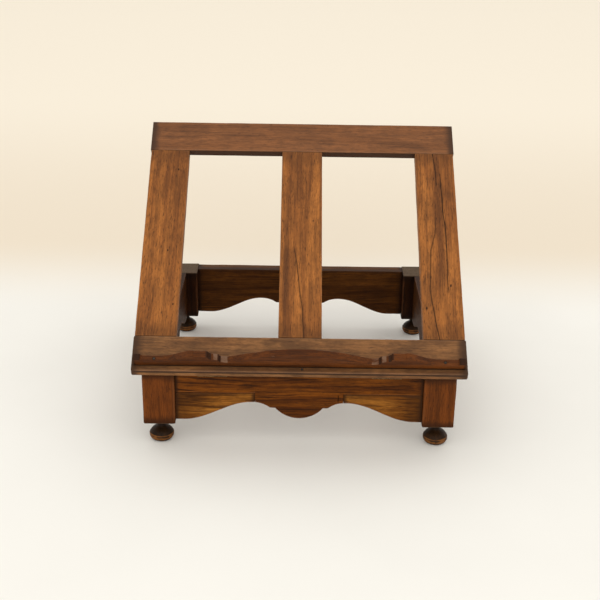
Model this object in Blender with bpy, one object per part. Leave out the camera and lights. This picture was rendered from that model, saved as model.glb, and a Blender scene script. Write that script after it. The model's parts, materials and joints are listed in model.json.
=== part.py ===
# Tabletop book stand: a slanted open frame with a scalloped book lip, hinged at the
# front of a low base with four posts, scalloped aprons and turned bun feet. A strut
# under the centre stile props it on a notched bar.
#
# Base pieces are placed from the front faces of the front posts (y = 0), the middle of
# the stand (x = 0) and the floor (z = 0). Easel pieces are placed from the tilt hinge's
# axis, with +Y up the slope and +Z out of the face that carries the book.

import math

import bmesh
import bpy
from mathutils import Matrix, Vector
from mathutils.geometry import interpolate_bezier

MM = 0.001
GAP = 0.3 * MM

# Base
BASE_WIDTH = 406.5 * MM
BASE_DEPTH = 390 * MM
POST_SIDE = 42 * MM
POST_TOP = 105 * MM
FOOT_HEIGHT = 30.5 * MM
APRON_HEIGHT = 68.6 * MM
PLAIN_APRON_HEIGHT = 72.8 * MM
PLAIN_APRON_RISE = 0.92
PLAIN_ARCH_END = 141 * MM
APRON_THICK = 21 * MM
APRON_RECESS = 4 * MM
TENON_LENGTH = 14 * MM
TENON_THICK = 8 * MM
TENON_MARGIN = 9 * MM

# Scalloped lower edge of an apron: distance from its middle, height over its low edge
LOBE_HALF = 31 * MM
LOBE_LOW = 3.6 * MM
LOBE_TOP = 18.3 * MM
STEP_HALF = 38.5 * MM
STEP_TOP = 19.2 * MM
ARCH_PEAK = 61 * MM
ARCH_TOP = 26.6 * MM
ARCH_END = 151 * MM
BLOCK_START = 57.5 * MM
BLOCK_HEIGHT = 39.4 * MM

# Turned foot
FOOT_RADIUS = 16.4 * MM
SPIGOT_RADIUS = 6 * MM
SPIGOT_LENGTH = 14 * MM

# Easel
TILT = math.radians(37.7)
HINGE_Y = -2 * MM
HINGE_Z = POST_TOP
EASEL_CLEAR = 1.9 * MM
EASEL_FRONT = -1.7 * MM
EASEL_LENGTH = 396 * MM
EASEL_THICK = 12.5 * MM
RAIL_LENGTH = 430 * MM
RAIL_WIDTH = 49.5 * MM
STILES_WIDTH = 427.5 * MM
STILE_WIDTH = 54 * MM
CENTRE_STILE_WIDTH = 56.5 * MM
STILE_TENON_LENGTH = 20 * MM
STILE_TENON_THICK = 4.2 * MM
STILE_TENON_MARGIN = 6 * MM

# Book lip
LIP_SETBACK = 7.4 * MM
LIP_THICK = 9 * MM
LIP_HALF = 212 * MM
LIP_HEIGHT = 33.5 * MM

# Butt hinges between the front apron and the bottom rail
HINGE_X = 112 * MM
HINGE_LENGTH = 38 * MM
LEAF_THICK = 1.2 * MM
LEAF_REACH = 17 * MM
KNUCKLE_RADIUS = 2.2 * MM
KNUCKLES = 5
KNUCKLE_TURN = math.radians(5)
PIN_RADIUS = 1.1 * MM
BORE_CLEAR = 0.12 * MM

# Strut, its bracket and the notched bar
STRUT_ALONG = 172 * MM
STRUT_DROP = 6.8 * MM
STRUT_LENGTH = 186 * MM
STRUT_WIDTH = 30 * MM
STRUT_THICK = 9 * MM
STRUT_PIN_RADIUS = 1.6 * MM
BRACKET_THICK = 1.5 * MM
BRACKET_FRONT = 23 * MM
BRACKET_REAR = 8 * MM
BAR_TOP = 92.6 * MM
BAR_THICK = 20 * MM
BAR_WIDTH = 40 * MM
FOOT_CLEAR = 0.4 * MM
NOTCHES = 5
NOTCH_PITCH = 15 * MM
NOTCH_DEPTH = 5.5 * MM

# Screws and nails
SCREW_HEAD = 2.2 * MM
SCREW_SHANK = 1.0 * MM
SCREW_LENGTH = 8.5 * MM
NAIL_HEAD = 1.5 * MM
NAIL_SHANK = 0.9 * MM

# What follows from the driving dimensions
POST_BOTTOM = FOOT_HEIGHT
APRON_BOTTOM = POST_TOP - APRON_HEIGHT
PLAIN_APRON_BOTTOM = POST_TOP - PLAIN_APRON_HEIGHT
SPAN_X = BASE_WIDTH - 2 * POST_SIDE
SPAN_Y = BASE_DEPTH - 2 * POST_SIDE
APRON_INNER = APRON_RECESS + APRON_THICK
STRUT_RADIUS = STRUT_THICK / 2
LIP_TOP_Y = (
    HINGE_Y
    + (EASEL_FRONT + LIP_SETBACK) * math.cos(TILT)
    - (EASEL_CLEAR + EASEL_THICK + GAP + LIP_HEIGHT) * math.sin(TILT)
)
Y_MIDDLE = (LIP_TOP_Y + BASE_DEPTH) / 2
PIVOT_Z = HINGE_Z + STRUT_ALONG * math.sin(TILT) + (EASEL_CLEAR - STRUT_DROP) * math.cos(TILT)
PIVOT_Y = HINGE_Y + STRUT_ALONG * math.cos(TILT) - (EASEL_CLEAR - STRUT_DROP) * math.sin(TILT)
STRUT_SLOPE = math.asin((PIVOT_Z - BAR_TOP - STRUT_RADIUS - FOOT_CLEAR) / STRUT_LENGTH)
STRUT_FOOT_Y = PIVOT_Y + STRUT_LENGTH * math.cos(STRUT_SLOPE)

SIDES = (("left", -1), ("right", 1))
ENDS = (("front", 0), ("rear", 1))


def clear_scene():
    for old in list(bpy.data.objects):
        bpy.data.objects.remove(old, do_unlink=True)


def make_material(name, color, roughness, metallic=0.0):
    material = bpy.data.materials.new(name)
    material.use_nodes = True
    shader = material.node_tree.nodes["Principled BSDF"]
    shader.inputs["Base Color"].default_value = (*color, 1.0)
    shader.inputs["Roughness"].default_value = roughness
    shader.inputs["Metallic"].default_value = metallic
    return material


def add_empty(name, location, parent=None, turn=0.0):
    """An empty that carries pieces, turned by an angle about X."""
    empty = bpy.data.objects.new(name, None)
    bpy.context.scene.collection.objects.link(empty)
    empty.parent = parent
    empty.location = location
    empty.rotation_euler.x = turn
    return empty


def add_piece(name, mesh, parent, material, location=(0, 0, 0), turn=0.0):
    piece = bpy.data.objects.new(name, mesh)
    bpy.context.scene.collection.objects.link(piece)
    piece.parent = parent
    piece.location = location
    piece.rotation_euler.x = turn
    if material and not mesh.materials:
        mesh.materials.append(material)
    return piece


def finish_mesh(name, bm, smooth_angle=None):
    bmesh.ops.recalc_face_normals(bm, faces=bm.faces)
    mesh = bpy.data.meshes.new(name)
    bm.to_mesh(mesh)
    bm.free()
    if smooth_angle:
        mesh.shade_smooth()
        mesh.set_sharp_from_angle(angle=math.radians(smooth_angle))
    return mesh


def box_mesh(name, low, high):
    low, high = Vector(low), Vector(high)
    bm = bmesh.new()
    size = Matrix.Diagonal((*(high - low), 1.0))
    bmesh.ops.create_cube(bm, size=1.0, matrix=Matrix.Translation((low + high) / 2) @ size)
    return finish_mesh(name, bm)


def prism_mesh(name, outline, depth, smooth_angle=None):
    """A flat outline of 3D points pushed along the vector depth."""
    bm = bmesh.new()
    face = bm.faces.new([bm.verts.new(point) for point in outline])
    pushed = bmesh.ops.extrude_face_region(bm, geom=[face])["geom"]
    moved = [item for item in pushed if isinstance(item, bmesh.types.BMVert)]
    bmesh.ops.translate(bm, verts=moved, vec=depth)
    return finish_mesh(name, bm, smooth_angle)


def turned_mesh(name, profile, steps):
    """A profile of (radius, height) points, from axis to axis, spun about Z."""
    bm = bmesh.new()
    points = [bm.verts.new((radius, 0, height)) for radius, height in profile]
    lines = [bm.edges.new(pair) for pair in zip(points, points[1:])]
    bmesh.ops.spin(
        bm, geom=points + lines, cent=(0, 0, 0), axis=(0, 0, 1), angle=2 * math.pi, steps=steps
    )
    bmesh.ops.remove_doubles(bm, verts=bm.verts, dist=0.001 * MM)
    return finish_mesh(name, bm, smooth_angle=35)


def rod_mesh(name, radius, start_x, end_x, steps=16):
    """A round rod along X, centred on y = 0, z = 0."""
    bm = bmesh.new()
    place = Matrix.Translation(((start_x + end_x) / 2, 0, 0)) @ Matrix.Rotation(math.pi / 2, 4, "Y")
    bmesh.ops.create_cone(
        bm, cap_ends=True, segments=steps, radius1=radius, radius2=radius,
        depth=end_x - start_x, matrix=place,
    )
    return finish_mesh(name, bm, smooth_angle=35)


def soften(piece, width, segments=1):
    bevel = piece.modifiers.new("worn_edges", "BEVEL")
    bevel.width = width
    bevel.segments = segments
    bevel.limit_method = "ANGLE"
    bevel.angle_limit = math.radians(40)


def combine(piece, mesh, operation, location=(0, 0, 0), turn=0.0):
    """Adds or cuts a helper mesh, placed in the same frame as the piece's parent."""
    kind = "added" if operation == "UNION" else "cutter"
    number = len(piece.modifiers)
    helper = add_piece(f"{piece.name}_{kind}_{number}", mesh, piece.parent, None, location, turn)
    helper.hide_render = True
    helper.display_type = "WIRE"
    boolean = piece.modifiers.new(f"{kind}_{number}", "BOOLEAN")
    boolean.operation = operation
    boolean.solver = "EXACT"
    boolean.object = helper


def add_box(piece, low, high):
    combine(piece, box_mesh(piece.name, low, high), "UNION")


def cut_box(piece, low, high):
    """Cuts a box and the gap round it."""
    low = [value - GAP for value in low]
    high = [value + GAP for value in high]
    combine(piece, box_mesh(piece.name, low, high), "DIFFERENCE")


def eased(start, end, steps):
    """Points after start on an S-shaped curve, level at both of its ends."""
    points = []
    for step in range(1, steps + 1):
        share = step / steps
        rise = (1 - math.cos(math.pi * share)) / 2
        along = start[0] + (end[0] - start[0]) * share
        points.append((along, start[1] + (end[1] - start[1]) * rise))
    return points


def curved(start, handle, other_handle, end, steps):
    """Points after start on a Bezier curve."""
    knots = [Vector((*point, 0)) for point in (start, handle, other_handle, end)]
    return [(point.x, point.y) for point in interpolate_bezier(*knots, steps + 1)[1:]]


def apron_edge(half, arch_end=ARCH_END):
    """Half of the scalloped edge, from the middle to an end at the distance half."""
    stretch = 2 * half / SPAN_X
    lobe_radius = (LOBE_HALF**2 + (LOBE_TOP - LOBE_LOW) ** 2) / (2 * (LOBE_TOP - LOBE_LOW))
    sweep = math.asin(LOBE_HALF / lobe_radius)
    points = []
    for step in range(9):
        turn = sweep * step / 8
        rise = lobe_radius * (1 - math.cos(turn))
        points.append((lobe_radius * math.sin(turn), LOBE_LOW + rise))
    points.append((STEP_HALF - 1.5 * MM, LOBE_TOP + 0.4 * MM))
    points.append((STEP_HALF, STEP_TOP))
    middle = (STEP_HALF + 8 * MM, ARCH_TOP - 1.2 * MM)
    points += curved((STEP_HALF, STEP_TOP), middle, (ARCH_PEAK - 7 * MM, ARCH_TOP), (ARCH_PEAK, ARCH_TOP), 6)
    points += eased((ARCH_PEAK, ARCH_TOP), (arch_end, 0), 14)
    points = [(along * stretch, height) for along, height in points]
    return points + [(half, 0)]


def lip_edge():
    """Half of the lip's top edge, from the middle to its end."""
    points = [(0, LIP_HEIGHT)]
    dip = (88 * MM, 11 * MM)
    points += curved(points[0], (38 * MM, LIP_HEIGHT), (58 * MM, 23 * MM), dip, 12)
    points += curved(dip, (92 * MM, 9.5 * MM), (98 * MM, 10.5 * MM), (102 * MM, 13 * MM), 5)
    points += [(102.5 * MM, 16.5 * MM), (109 * MM, 18 * MM)]
    points += curved(points[-1], (113 * MM, 18.5 * MM), (115.5 * MM, 21 * MM), (116.5 * MM, 25 * MM), 4)
    points += [(133.5 * MM, 25.4 * MM), (134.5 * MM, 27 * MM), (137.5 * MM, 27 * MM)]
    points += curved(points[-1], (149 * MM, 23 * MM), (160 * MM, 11.4 * MM), (175 * MM, 10.4 * MM), 9)
    points += [(200 * MM, 10 * MM)]
    points += [(202 * MM, 11.5 * MM), (203 * MM, 14.4 * MM), (LIP_HALF, 14.4 * MM)]
    return points


def mirrored(half_edge):
    """The whole edge, from the left end to the right end."""
    left = [(-along, height) for along, height in reversed(half_edge) if along > 0]
    return left + half_edge


# Base


def make_posts(base, wood):
    tenon_low = APRON_BOTTOM + TENON_MARGIN
    tenon_high = POST_TOP - TENON_MARGIN
    tenon_start = APRON_RECESS + (APRON_THICK - TENON_THICK) / 2
    tenon_end = tenon_start + TENON_THICK
    reach = POST_SIDE - TENON_LENGTH
    for end, at_rear in ENDS:
        for side, sign in SIDES:
            outer = sign * BASE_WIDTH / 2
            inner = outer - sign * POST_SIDE
            near = at_rear * (BASE_DEPTH - POST_SIDE)
            low = (min(outer, inner), near, POST_BOTTOM)
            high = (max(outer, inner), near + POST_SIDE, POST_TOP)
            post = add_piece(f"post_{end}_{side}", box_mesh("post", low, high), base, wood)
            soften(post, 0.8 * MM, 2)
            # Mortise for the front or rear apron, then the one for the side apron
            across = sorted((inner, outer - sign * reach))
            rows = (tenon_start, tenon_end) if not at_rear else (BASE_DEPTH - tenon_end, BASE_DEPTH - tenon_start)
            cut_box(post, (across[0], rows[0], tenon_low), (across[1], rows[1], tenon_high))
            columns = sorted((outer - sign * tenon_start, outer - sign * tenon_end))
            depth = (reach, POST_SIDE) if not at_rear else (BASE_DEPTH - POST_SIDE, BASE_DEPTH - reach)
            cut_box(post, (columns[0], depth[0], tenon_low), (columns[1], depth[1], tenon_high))
            socket = turned_mesh(
                "socket",
                [(0, -1 * MM), (SPIGOT_RADIUS + GAP, -1 * MM), (SPIGOT_RADIUS + GAP, SPIGOT_LENGTH + GAP),
                 (0, SPIGOT_LENGTH + GAP)],
                20,
            )
            middle = (outer - sign * POST_SIDE / 2, near + POST_SIDE / 2, POST_BOTTOM)
            combine(post, socket, "DIFFERENCE", middle)


def foot_mesh():
    """The turned foot: spigot, flared top, thin neck, and a low bun with a ring round its lower half."""
    top = POST_BOTTOM - GAP
    profile = [
        (0, POST_BOTTOM + SPIGOT_LENGTH),
        (SPIGOT_RADIUS, POST_BOTTOM + SPIGOT_LENGTH),
        (SPIGOT_RADIUS, top),
        (8.8 * MM, top),
        (8.2 * MM, 28.6 * MM),
        (6.2 * MM, 26.6 * MM),
        (5.2 * MM, 24.4 * MM),
        (5.2 * MM, 21.6 * MM),
        (6.0 * MM, 19.2 * MM),
        (8.2 * MM, 17.2 * MM),
        (11.4 * MM, 15.2 * MM),
        (13.9 * MM, 12.8 * MM),
        (15.5 * MM, 10.4 * MM),
        (FOOT_RADIUS, 8.6 * MM),
        (15.8 * MM, 8.0 * MM),
        (16.3 * MM, 6.9 * MM),
        (16.2 * MM, 5.4 * MM),
        (15.6 * MM, 3.6 * MM),
        (14.6 * MM, 1.9 * MM),
        (13.2 * MM, 0.5 * MM),
        (12.2 * MM, 0),
        (0, 0),
    ]
    return turned_mesh("foot", profile, 24)


def make_feet(base, wood):
    mesh = foot_mesh()
    for end, at_rear in ENDS:
        for side, sign in SIDES:
            across = sign * (BASE_WIDTH - POST_SIDE) / 2
            along = POST_SIDE / 2 + at_rear * (BASE_DEPTH - POST_SIDE)
            add_piece(f"foot_{end}_{side}", mesh, base, wood, (across, along, 0))


def apron_outline(half, with_blocks):
    if not with_blocks:
        edge = mirrored(apron_edge(half, PLAIN_ARCH_END))
        lowered = [(along, height * PLAIN_APRON_RISE) for along, height in edge]
        return [(-half, PLAIN_APRON_HEIGHT), *lowered, (half, PLAIN_APRON_HEIGHT)]
    edge = mirrored(apron_edge(half))
    # The two lower corners are left out, and are pieces of their own
    kept = [point for point in edge if abs(point[0]) < BLOCK_START]
    corner = BLOCK_HEIGHT + GAP / 2
    start = BLOCK_START - GAP / 2
    left = [(-half, APRON_HEIGHT), (-half, corner), (-start, corner), (-start, ARCH_TOP - 0.1 * MM)]
    right = [(-along, height) for along, height in reversed(left)]
    return [*left, *kept, *right]


def make_long_aprons(base, wood, bar_tenon):
    """The front and rear aprons, along X, with tenons in the posts and a mortise for the bar."""
    half = SPAN_X / 2 - GAP
    for end, at_rear in ENDS:
        near = BASE_DEPTH - APRON_INNER if at_rear else APRON_RECESS
        low_edge = PLAIN_APRON_BOTTOM if at_rear else APRON_BOTTOM
        outline = [
            (along, near, low_edge + height)
            for along, height in apron_outline(half, with_blocks=not at_rear)
        ]
        mesh = prism_mesh("apron", outline, (0, APRON_THICK, 0), smooth_angle=30)
        apron = add_piece(f"{end}_apron", mesh, base, wood)
        tenon_near = near + (APRON_THICK - TENON_THICK) / 2
        for _side, sign in SIDES:
            columns = sorted((sign * (half - 5 * MM), sign * (SPAN_X / 2 + TENON_LENGTH)))
            bottom = APRON_BOTTOM + TENON_MARGIN
            if not at_rear:
                bottom = APRON_BOTTOM + BLOCK_HEIGHT + GAP
            add_box(
                apron,
                (columns[0], tenon_near, bottom),
                (columns[1], tenon_near + TENON_THICK, POST_TOP - TENON_MARGIN),
            )
        low, high = bar_tenon
        cut_box(apron, *((low, high) if not at_rear else mirror_y(low, high)))
        if not at_rear:
            cut_hinge_gains(apron)


def mirror_y(low, high):
    """The same box at the other end of the base."""
    return (low[0], BASE_DEPTH - high[1], low[2]), (high[0], BASE_DEPTH - low[1], high[2])


def make_side_aprons(base, wood):
    half = SPAN_Y / 2 - GAP
    for side, sign in SIDES:
        outer = sign * (BASE_WIDTH / 2 - APRON_RECESS)
        low_x = min(outer, outer - sign * APRON_THICK)
        outline = [
            (low_x, BASE_DEPTH / 2 + along, PLAIN_APRON_BOTTOM + height)
            for along, height in apron_outline(half, with_blocks=False)
        ]
        mesh = prism_mesh("apron", outline, (APRON_THICK, 0, 0), smooth_angle=30)
        apron = add_piece(f"{side}_apron", mesh, base, wood)
        tenon_x = low_x + (APRON_THICK - TENON_THICK) / 2
        for _end, at_rear in ENDS:
            direction = 1 if at_rear else -1
            rows = sorted(
                BASE_DEPTH / 2 + direction * reach
                for reach in (half - 5 * MM, SPAN_Y / 2 + TENON_LENGTH)
            )
            add_box(
                apron,
                (tenon_x, rows[0], APRON_BOTTOM + TENON_MARGIN),
                (tenon_x + TENON_THICK, rows[1], POST_TOP - TENON_MARGIN),
            )


def make_front_blocks(base, wood):
    """The two lower corners of the front apron, glued on in a lighter wood."""
    half = SPAN_X / 2 - GAP
    edge = [point for point in apron_edge(half) if point[0] > BLOCK_START]
    start = BLOCK_START + GAP / 2
    top = BLOCK_HEIGHT - GAP / 2
    outline = [(start, ARCH_TOP - 0.1 * MM), *edge, (half, top), (start, top)]
    for side, sign in SIDES:
        points = [(sign * along, APRON_RECESS, APRON_BOTTOM + height) for along, height in outline]
        mesh = prism_mesh("apron_block", points, (0, APRON_THICK, 0), smooth_angle=30)
        add_piece(f"front_apron_block_{side}", mesh, base, wood)


def bar_outline():
    """The side view of the notched bar: each notch has a ramp in front and a steep rear face."""
    points = [(APRON_INNER + GAP, BAR_TOP - BAR_THICK), (BASE_DEPTH - APRON_INNER - GAP, BAR_TOP - BAR_THICK)]
    top = [(APRON_INNER + GAP, BAR_TOP)]
    for number in range(NOTCHES):
        wall = STRUT_FOOT_Y + number * NOTCH_PITCH + STRUT_RADIUS + GAP
        top.append((wall - 11 * MM, BAR_TOP))
        top.append((wall - 1.5 * MM, BAR_TOP - NOTCH_DEPTH))
        top.append((wall, BAR_TOP))
    top.append((BASE_DEPTH - APRON_INNER - GAP, BAR_TOP))
    return points + top[::-1]


def make_ratchet_bar(base, wood, bar_tenon):
    outline = [(-BAR_WIDTH / 2, along, height) for along, height in bar_outline()]
    mesh = prism_mesh("ratchet_bar", outline, (BAR_WIDTH, 0, 0))
    bar = add_piece("ratchet_bar", mesh, base, wood)
    low, high = bar_tenon
    add_box(bar, low, (high[0], high[1] + 3 * MM, high[2]))
    low, high = mirror_y(low, high)
    add_box(bar, (low[0], low[1] - 3 * MM, low[2]), high)


def make_base(base, woods):
    bar_tenon = (
        (-15 * MM, APRON_INNER - 10 * MM, BAR_TOP - BAR_THICK + 4 * MM),
        (15 * MM, APRON_INNER, BAR_TOP - 6 * MM),
    )
    make_posts(base, woods["post"])
    make_feet(base, woods["foot"])
    make_long_aprons(base, woods["apron"], bar_tenon)
    make_side_aprons(base, woods["apron"])
    make_front_blocks(base, woods["repair"])
    make_ratchet_bar(base, woods["apron"], bar_tenon)


# Hinges and fasteners


def screw_profile(extra=0.0, above=0.0):
    """Countersunk screw, head up: with extra and above it is the hole for one."""
    head = SCREW_HEAD + extra
    shank = SCREW_SHANK + extra
    return [
        (0, above),
        (head, above),
        (head, -0.2 * MM),
        (shank, -1.4 * MM),
        (shank, -SCREW_LENGTH + 1.5 * MM - extra),
        (0, -SCREW_LENGTH - extra),
    ]


def screw_places():
    """Three screws in each leaf, in a shallow triangle."""
    spread = HINGE_LENGTH / 2 - 5 * MM
    return ((-spread, 7.5 * MM), (0, 12.5 * MM), (spread, 7.5 * MM))


def add_screw(name, parent, metal, location, turn=0.0):
    """A slotted screw whose head is level with location."""
    screw = add_piece(name, turned_mesh("screw", screw_profile(), 14), parent, metal, location, turn)
    slot = box_mesh("slot", (-3 * MM, -0.3 * MM, -0.5 * MM), (3 * MM, 0.3 * MM, 0.5 * MM))
    combine(screw, slot, "DIFFERENCE", location, turn)


def cut_screw_hole(piece, location, turn=0.0):
    hole = turned_mesh("screw_hole", screw_profile(0.2 * MM, 1 * MM), 14)
    combine(piece, hole, "DIFFERENCE", location, turn)


def cut_hinge_gains(apron):
    """Shallow beds for the two base leaves in the top of the front apron, and their screw holes."""
    for _side, sign in SIDES:
        middle = sign * HINGE_X
        half = HINGE_LENGTH / 2
        cut_box(
            apron,
            (middle - half, -5 * MM, POST_TOP - LEAF_THICK),
            (middle + half, HINGE_Y + LEAF_REACH, POST_TOP + 2 * MM),
        )
        for across, reach in screw_places():
            cut_screw_hole(apron, (middle + across, HINGE_Y + reach, POST_TOP))


def leaf_outline(own_knuckles):
    """Plan of a leaf from the hinge's axis: a plate with one tab for each of its own knuckles."""
    half = HINGE_LENGTH / 2
    step = HINGE_LENGTH / KNUCKLES
    edge = KNUCKLE_RADIUS + GAP
    points = [(half, LEAF_REACH), (-half, LEAF_REACH), (-half, edge)]
    for number in own_knuckles:
        start, end = knuckle_span(number, step)
        points += [(start, edge), (start, 0.3 * MM), (end, 0.3 * MM), (end, edge)]
    points.append((half, edge))
    return [point for point, after in zip(points, [*points[1:], points[0]]) if point != after]


def knuckle_span(number, step):
    """Where a knuckle starts and ends along the hinge; the outer ones end level with the plate."""
    start = -HINGE_LENGTH / 2 + number * step
    inset_start = 0.0 if number == 0 else 0.15 * MM
    inset_end = 0.0 if number == KNUCKLES - 1 else 0.15 * MM
    return start + inset_start, start + step - inset_end


def add_leaf(name, parent, metal, place, bottom, top, own_knuckles, turn):
    """A hinge leaf: a plate, its own knuckles on the axis and its screw holes."""
    origin_x, origin_y, origin_z = place
    outline = [
        (origin_x + across, origin_y + along, origin_z + bottom)
        for across, along in leaf_outline(own_knuckles)
    ]
    leaf = add_piece(name, prism_mesh(name, outline, (0, 0, top - bottom)), parent, metal)
    step = HINGE_LENGTH / KNUCKLES
    for number in own_knuckles:
        start, end = knuckle_span(number, step)
        knuckle = rod_mesh(name, KNUCKLE_RADIUS, origin_x + start, origin_x + end)
        combine(leaf, knuckle, "UNION", (0, origin_y, origin_z), KNUCKLE_TURN)
    half = HINGE_LENGTH / 2 + MM
    bore = rod_mesh(name, PIN_RADIUS + BORE_CLEAR, origin_x - half, origin_x + half)
    combine(leaf, bore, "DIFFERENCE", (0, origin_y, origin_z), KNUCKLE_TURN)
    level = bottom if turn else top
    for across, reach in screw_places():
        cut_screw_hole(leaf, (origin_x + across, origin_y + reach, origin_z + level), turn)


def make_hinges(base, easel, brass, steel):
    easel_bottom = EASEL_CLEAR - 1 * MM
    for side, sign in SIDES:
        middle = sign * HINGE_X
        name = f"hinge_{side}"
        base_place = (middle, HINGE_Y, HINGE_Z)
        add_leaf(f"{name}_base_leaf", base, brass, base_place, -LEAF_THICK, 0.0, (0, 2, 4), 0.0)
        add_leaf(
            f"{name}_easel_leaf", easel, brass, (middle, 0, 0),
            easel_bottom, easel_bottom + LEAF_THICK, (1, 3), math.pi,
        )
        pin = rod_mesh("hinge_pin", PIN_RADIUS, middle - HINGE_LENGTH / 2, middle + HINGE_LENGTH / 2)
        add_piece(f"{name}_pin", pin, base, steel, (0, HINGE_Y, HINGE_Z), KNUCKLE_TURN)
        for number, (across, reach) in enumerate(screw_places(), start=1):
            add_screw(
                f"{name}_base_screw_{number}", base, steel, (middle + across, HINGE_Y + reach, HINGE_Z)
            )
            add_screw(
                f"{name}_easel_screw_{number}", easel, steel,
                (middle + across, reach, easel_bottom), math.pi,
            )


# Easel


def rail_profile(moulded):
    """The end view of a rail, as (up the slope, out of the face) points from its lower front."""
    if not moulded:
        return [(0, 0), (RAIL_WIDTH, 0), (RAIL_WIDTH, EASEL_THICK), (0, EASEL_THICK)]
    back = [(RAIL_WIDTH, 0), (RAIL_WIDTH, EASEL_THICK), (1.2 * MM, EASEL_THICK)]
    bead = [(0.3 * MM, EASEL_THICK - 0.4 * MM), (0, EASEL_THICK - 1.3 * MM), (0.2 * MM, EASEL_THICK - 2.6 * MM)]
    quirk = [(1.7 * MM, EASEL_THICK - 3.4 * MM), (1.9 * MM, EASEL_THICK - 4.3 * MM)]
    nosing = curved(
        (0.2 * MM, EASEL_THICK - 4.6 * MM), (-2.4 * MM, EASEL_THICK - 6.6 * MM),
        (-2.2 * MM, -0.3 * MM), (0.6 * MM, -0.4 * MM), 8,
    )
    under = [(3.2 * MM, -0.4 * MM), (3.2 * MM, 0)]
    return [*back, *bead, *quirk, (0.2 * MM, EASEL_THICK - 4.6 * MM), *nosing, *under]


def stile_rows():
    """Middle and width of each stile."""
    outer = (STILES_WIDTH - STILE_WIDTH) / 2
    return (
        ("left_stile", -outer, STILE_WIDTH),
        ("centre_stile", 0.0, CENTRE_STILE_WIDTH),
        ("right_stile", outer, STILE_WIDTH),
    )


def stile_tenon(middle, width, at_top):
    """Low and high corners of the tenon at one end of a stile."""
    depth_low = EASEL_CLEAR + (EASEL_THICK - STILE_TENON_THICK) / 2
    half = width / 2 - STILE_TENON_MARGIN
    shoulder = EASEL_FRONT + (EASEL_LENGTH - RAIL_WIDTH if at_top else RAIL_WIDTH)
    rows = (shoulder, shoulder + STILE_TENON_LENGTH) if at_top else (shoulder - STILE_TENON_LENGTH, shoulder)
    return (middle - half, rows[0], depth_low), (middle + half, rows[1], depth_low + STILE_TENON_THICK)


def make_rails(easel, wood):
    for name, at_top in (("bottom_rail", False), ("top_rail", True)):
        start = EASEL_FRONT + (EASEL_LENGTH - RAIL_WIDTH if at_top else 0.0)
        outline = [
            (-RAIL_LENGTH / 2, start + along, EASEL_CLEAR + height)
            for along, height in rail_profile(moulded=not at_top)
        ]
        mesh = prism_mesh(name, outline, (RAIL_LENGTH, 0, 0))
        rail = add_piece(name, mesh, easel, wood)
        if at_top:
            soften(rail, 0.8 * MM)
        for _name, middle, width in stile_rows():
            cut_box(rail, *stile_tenon(middle, width, at_top))
        if not at_top:
            cut_rail_hinge_gains(rail)


def cut_rail_hinge_gains(rail):
    """Beds under the bottom rail for the easel leaves, room for the knuckles, and screw holes."""
    bed = EASEL_CLEAR - 1 * MM + LEAF_THICK
    for _side, sign in SIDES:
        middle = sign * HINGE_X
        half = HINGE_LENGTH / 2
        cut_box(rail, (middle - half, -1.2 * MM, 0), (middle + half, LEAF_REACH, bed))
        room = rod_mesh("room", KNUCKLE_RADIUS + GAP, middle - half - GAP, middle + half + GAP)
        combine(rail, room, "DIFFERENCE")
        for across, reach in screw_places():
            cut_screw_hole(rail, (middle + across, reach, EASEL_CLEAR - 1 * MM), math.pi)


def make_stiles(easel, wood):
    low = EASEL_FRONT + RAIL_WIDTH + GAP
    high = EASEL_FRONT + EASEL_LENGTH - RAIL_WIDTH - GAP
    for name, middle, width in stile_rows():
        mesh = box_mesh(
            name,
            (middle - width / 2, low, EASEL_CLEAR),
            (middle + width / 2, high, EASEL_CLEAR + EASEL_THICK),
        )
        stile = add_piece(name, mesh, easel, wood)
        soften(stile, 0.6 * MM)
        for at_top in (False, True):
            start, end = stile_tenon(middle, width, at_top)
            inward = -3 * MM if at_top else 0.0
            outward = 0.0 if at_top else 3 * MM
            add_box(stile, (start[0], start[1] + inward, start[2]), (end[0], end[1] + outward, end[2]))
        if name == "centre_stile":
            for place in bracket_screws():
                cut_screw_hole(stile, place, math.pi)


def nail_profile(length, extra=0.0, above=0.0):
    return [
        (0, above),
        (NAIL_HEAD + extra, above),
        (NAIL_HEAD + extra, -1 * MM),
        (NAIL_SHANK + extra, -1 * MM),
        (NAIL_SHANK + extra, -length + 1.5 * MM - extra),
        (0, -length - extra),
    ]


def make_lip(easel, wood, steel):
    """The book lip stands on the bottom rail, held by two nails through its low places."""
    face = EASEL_CLEAR + EASEL_THICK
    near = EASEL_FRONT + LIP_SETBACK
    edge = mirrored(lip_edge())
    outline = [(-LIP_HALF, 0), *edge, (LIP_HALF, 0)]
    points = [(along, near, face + GAP + height) for along, height in outline]
    mesh = prism_mesh("book_lip", points, (0, LIP_THICK, 0), smooth_angle=30)
    lip = add_piece("book_lip", mesh, easel, wood)
    rail = bpy.data.objects["bottom_rail"]
    nail_x = 185 * MM
    top = face + GAP + 10 * MM
    length = 19 * MM
    for side, sign in SIDES:
        place = (sign * nail_x, near + LIP_THICK / 2, top)
        nail = turned_mesh("lip_nail", nail_profile(length), 12)
        add_piece(f"lip_nail_{side}", nail, easel, steel, place)
        for target in (lip, rail):
            hole = turned_mesh("nail_hole", nail_profile(length, 0.15 * MM, 2 * MM), 12)
            combine(target, hole, "DIFFERENCE", place)
    strip_nail = turned_mesh("strip_nail", nail_profile(8 * MM), 12)
    place = (3 * MM, EASEL_FRONT + 4.6 * MM, face)
    add_piece("strip_nail", strip_nail, easel, steel, place)
    hole = turned_mesh("nail_hole", nail_profile(8 * MM, 0.15 * MM, 2 * MM), 12)
    combine(rail, hole, "DIFFERENCE", place)


# Strut


def bracket_screws():
    bottom = EASEL_CLEAR - GAP - BRACKET_THICK
    return [(sign * 10 * MM, STRUT_ALONG - 15 * MM, bottom) for _side, sign in SIDES]


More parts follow.
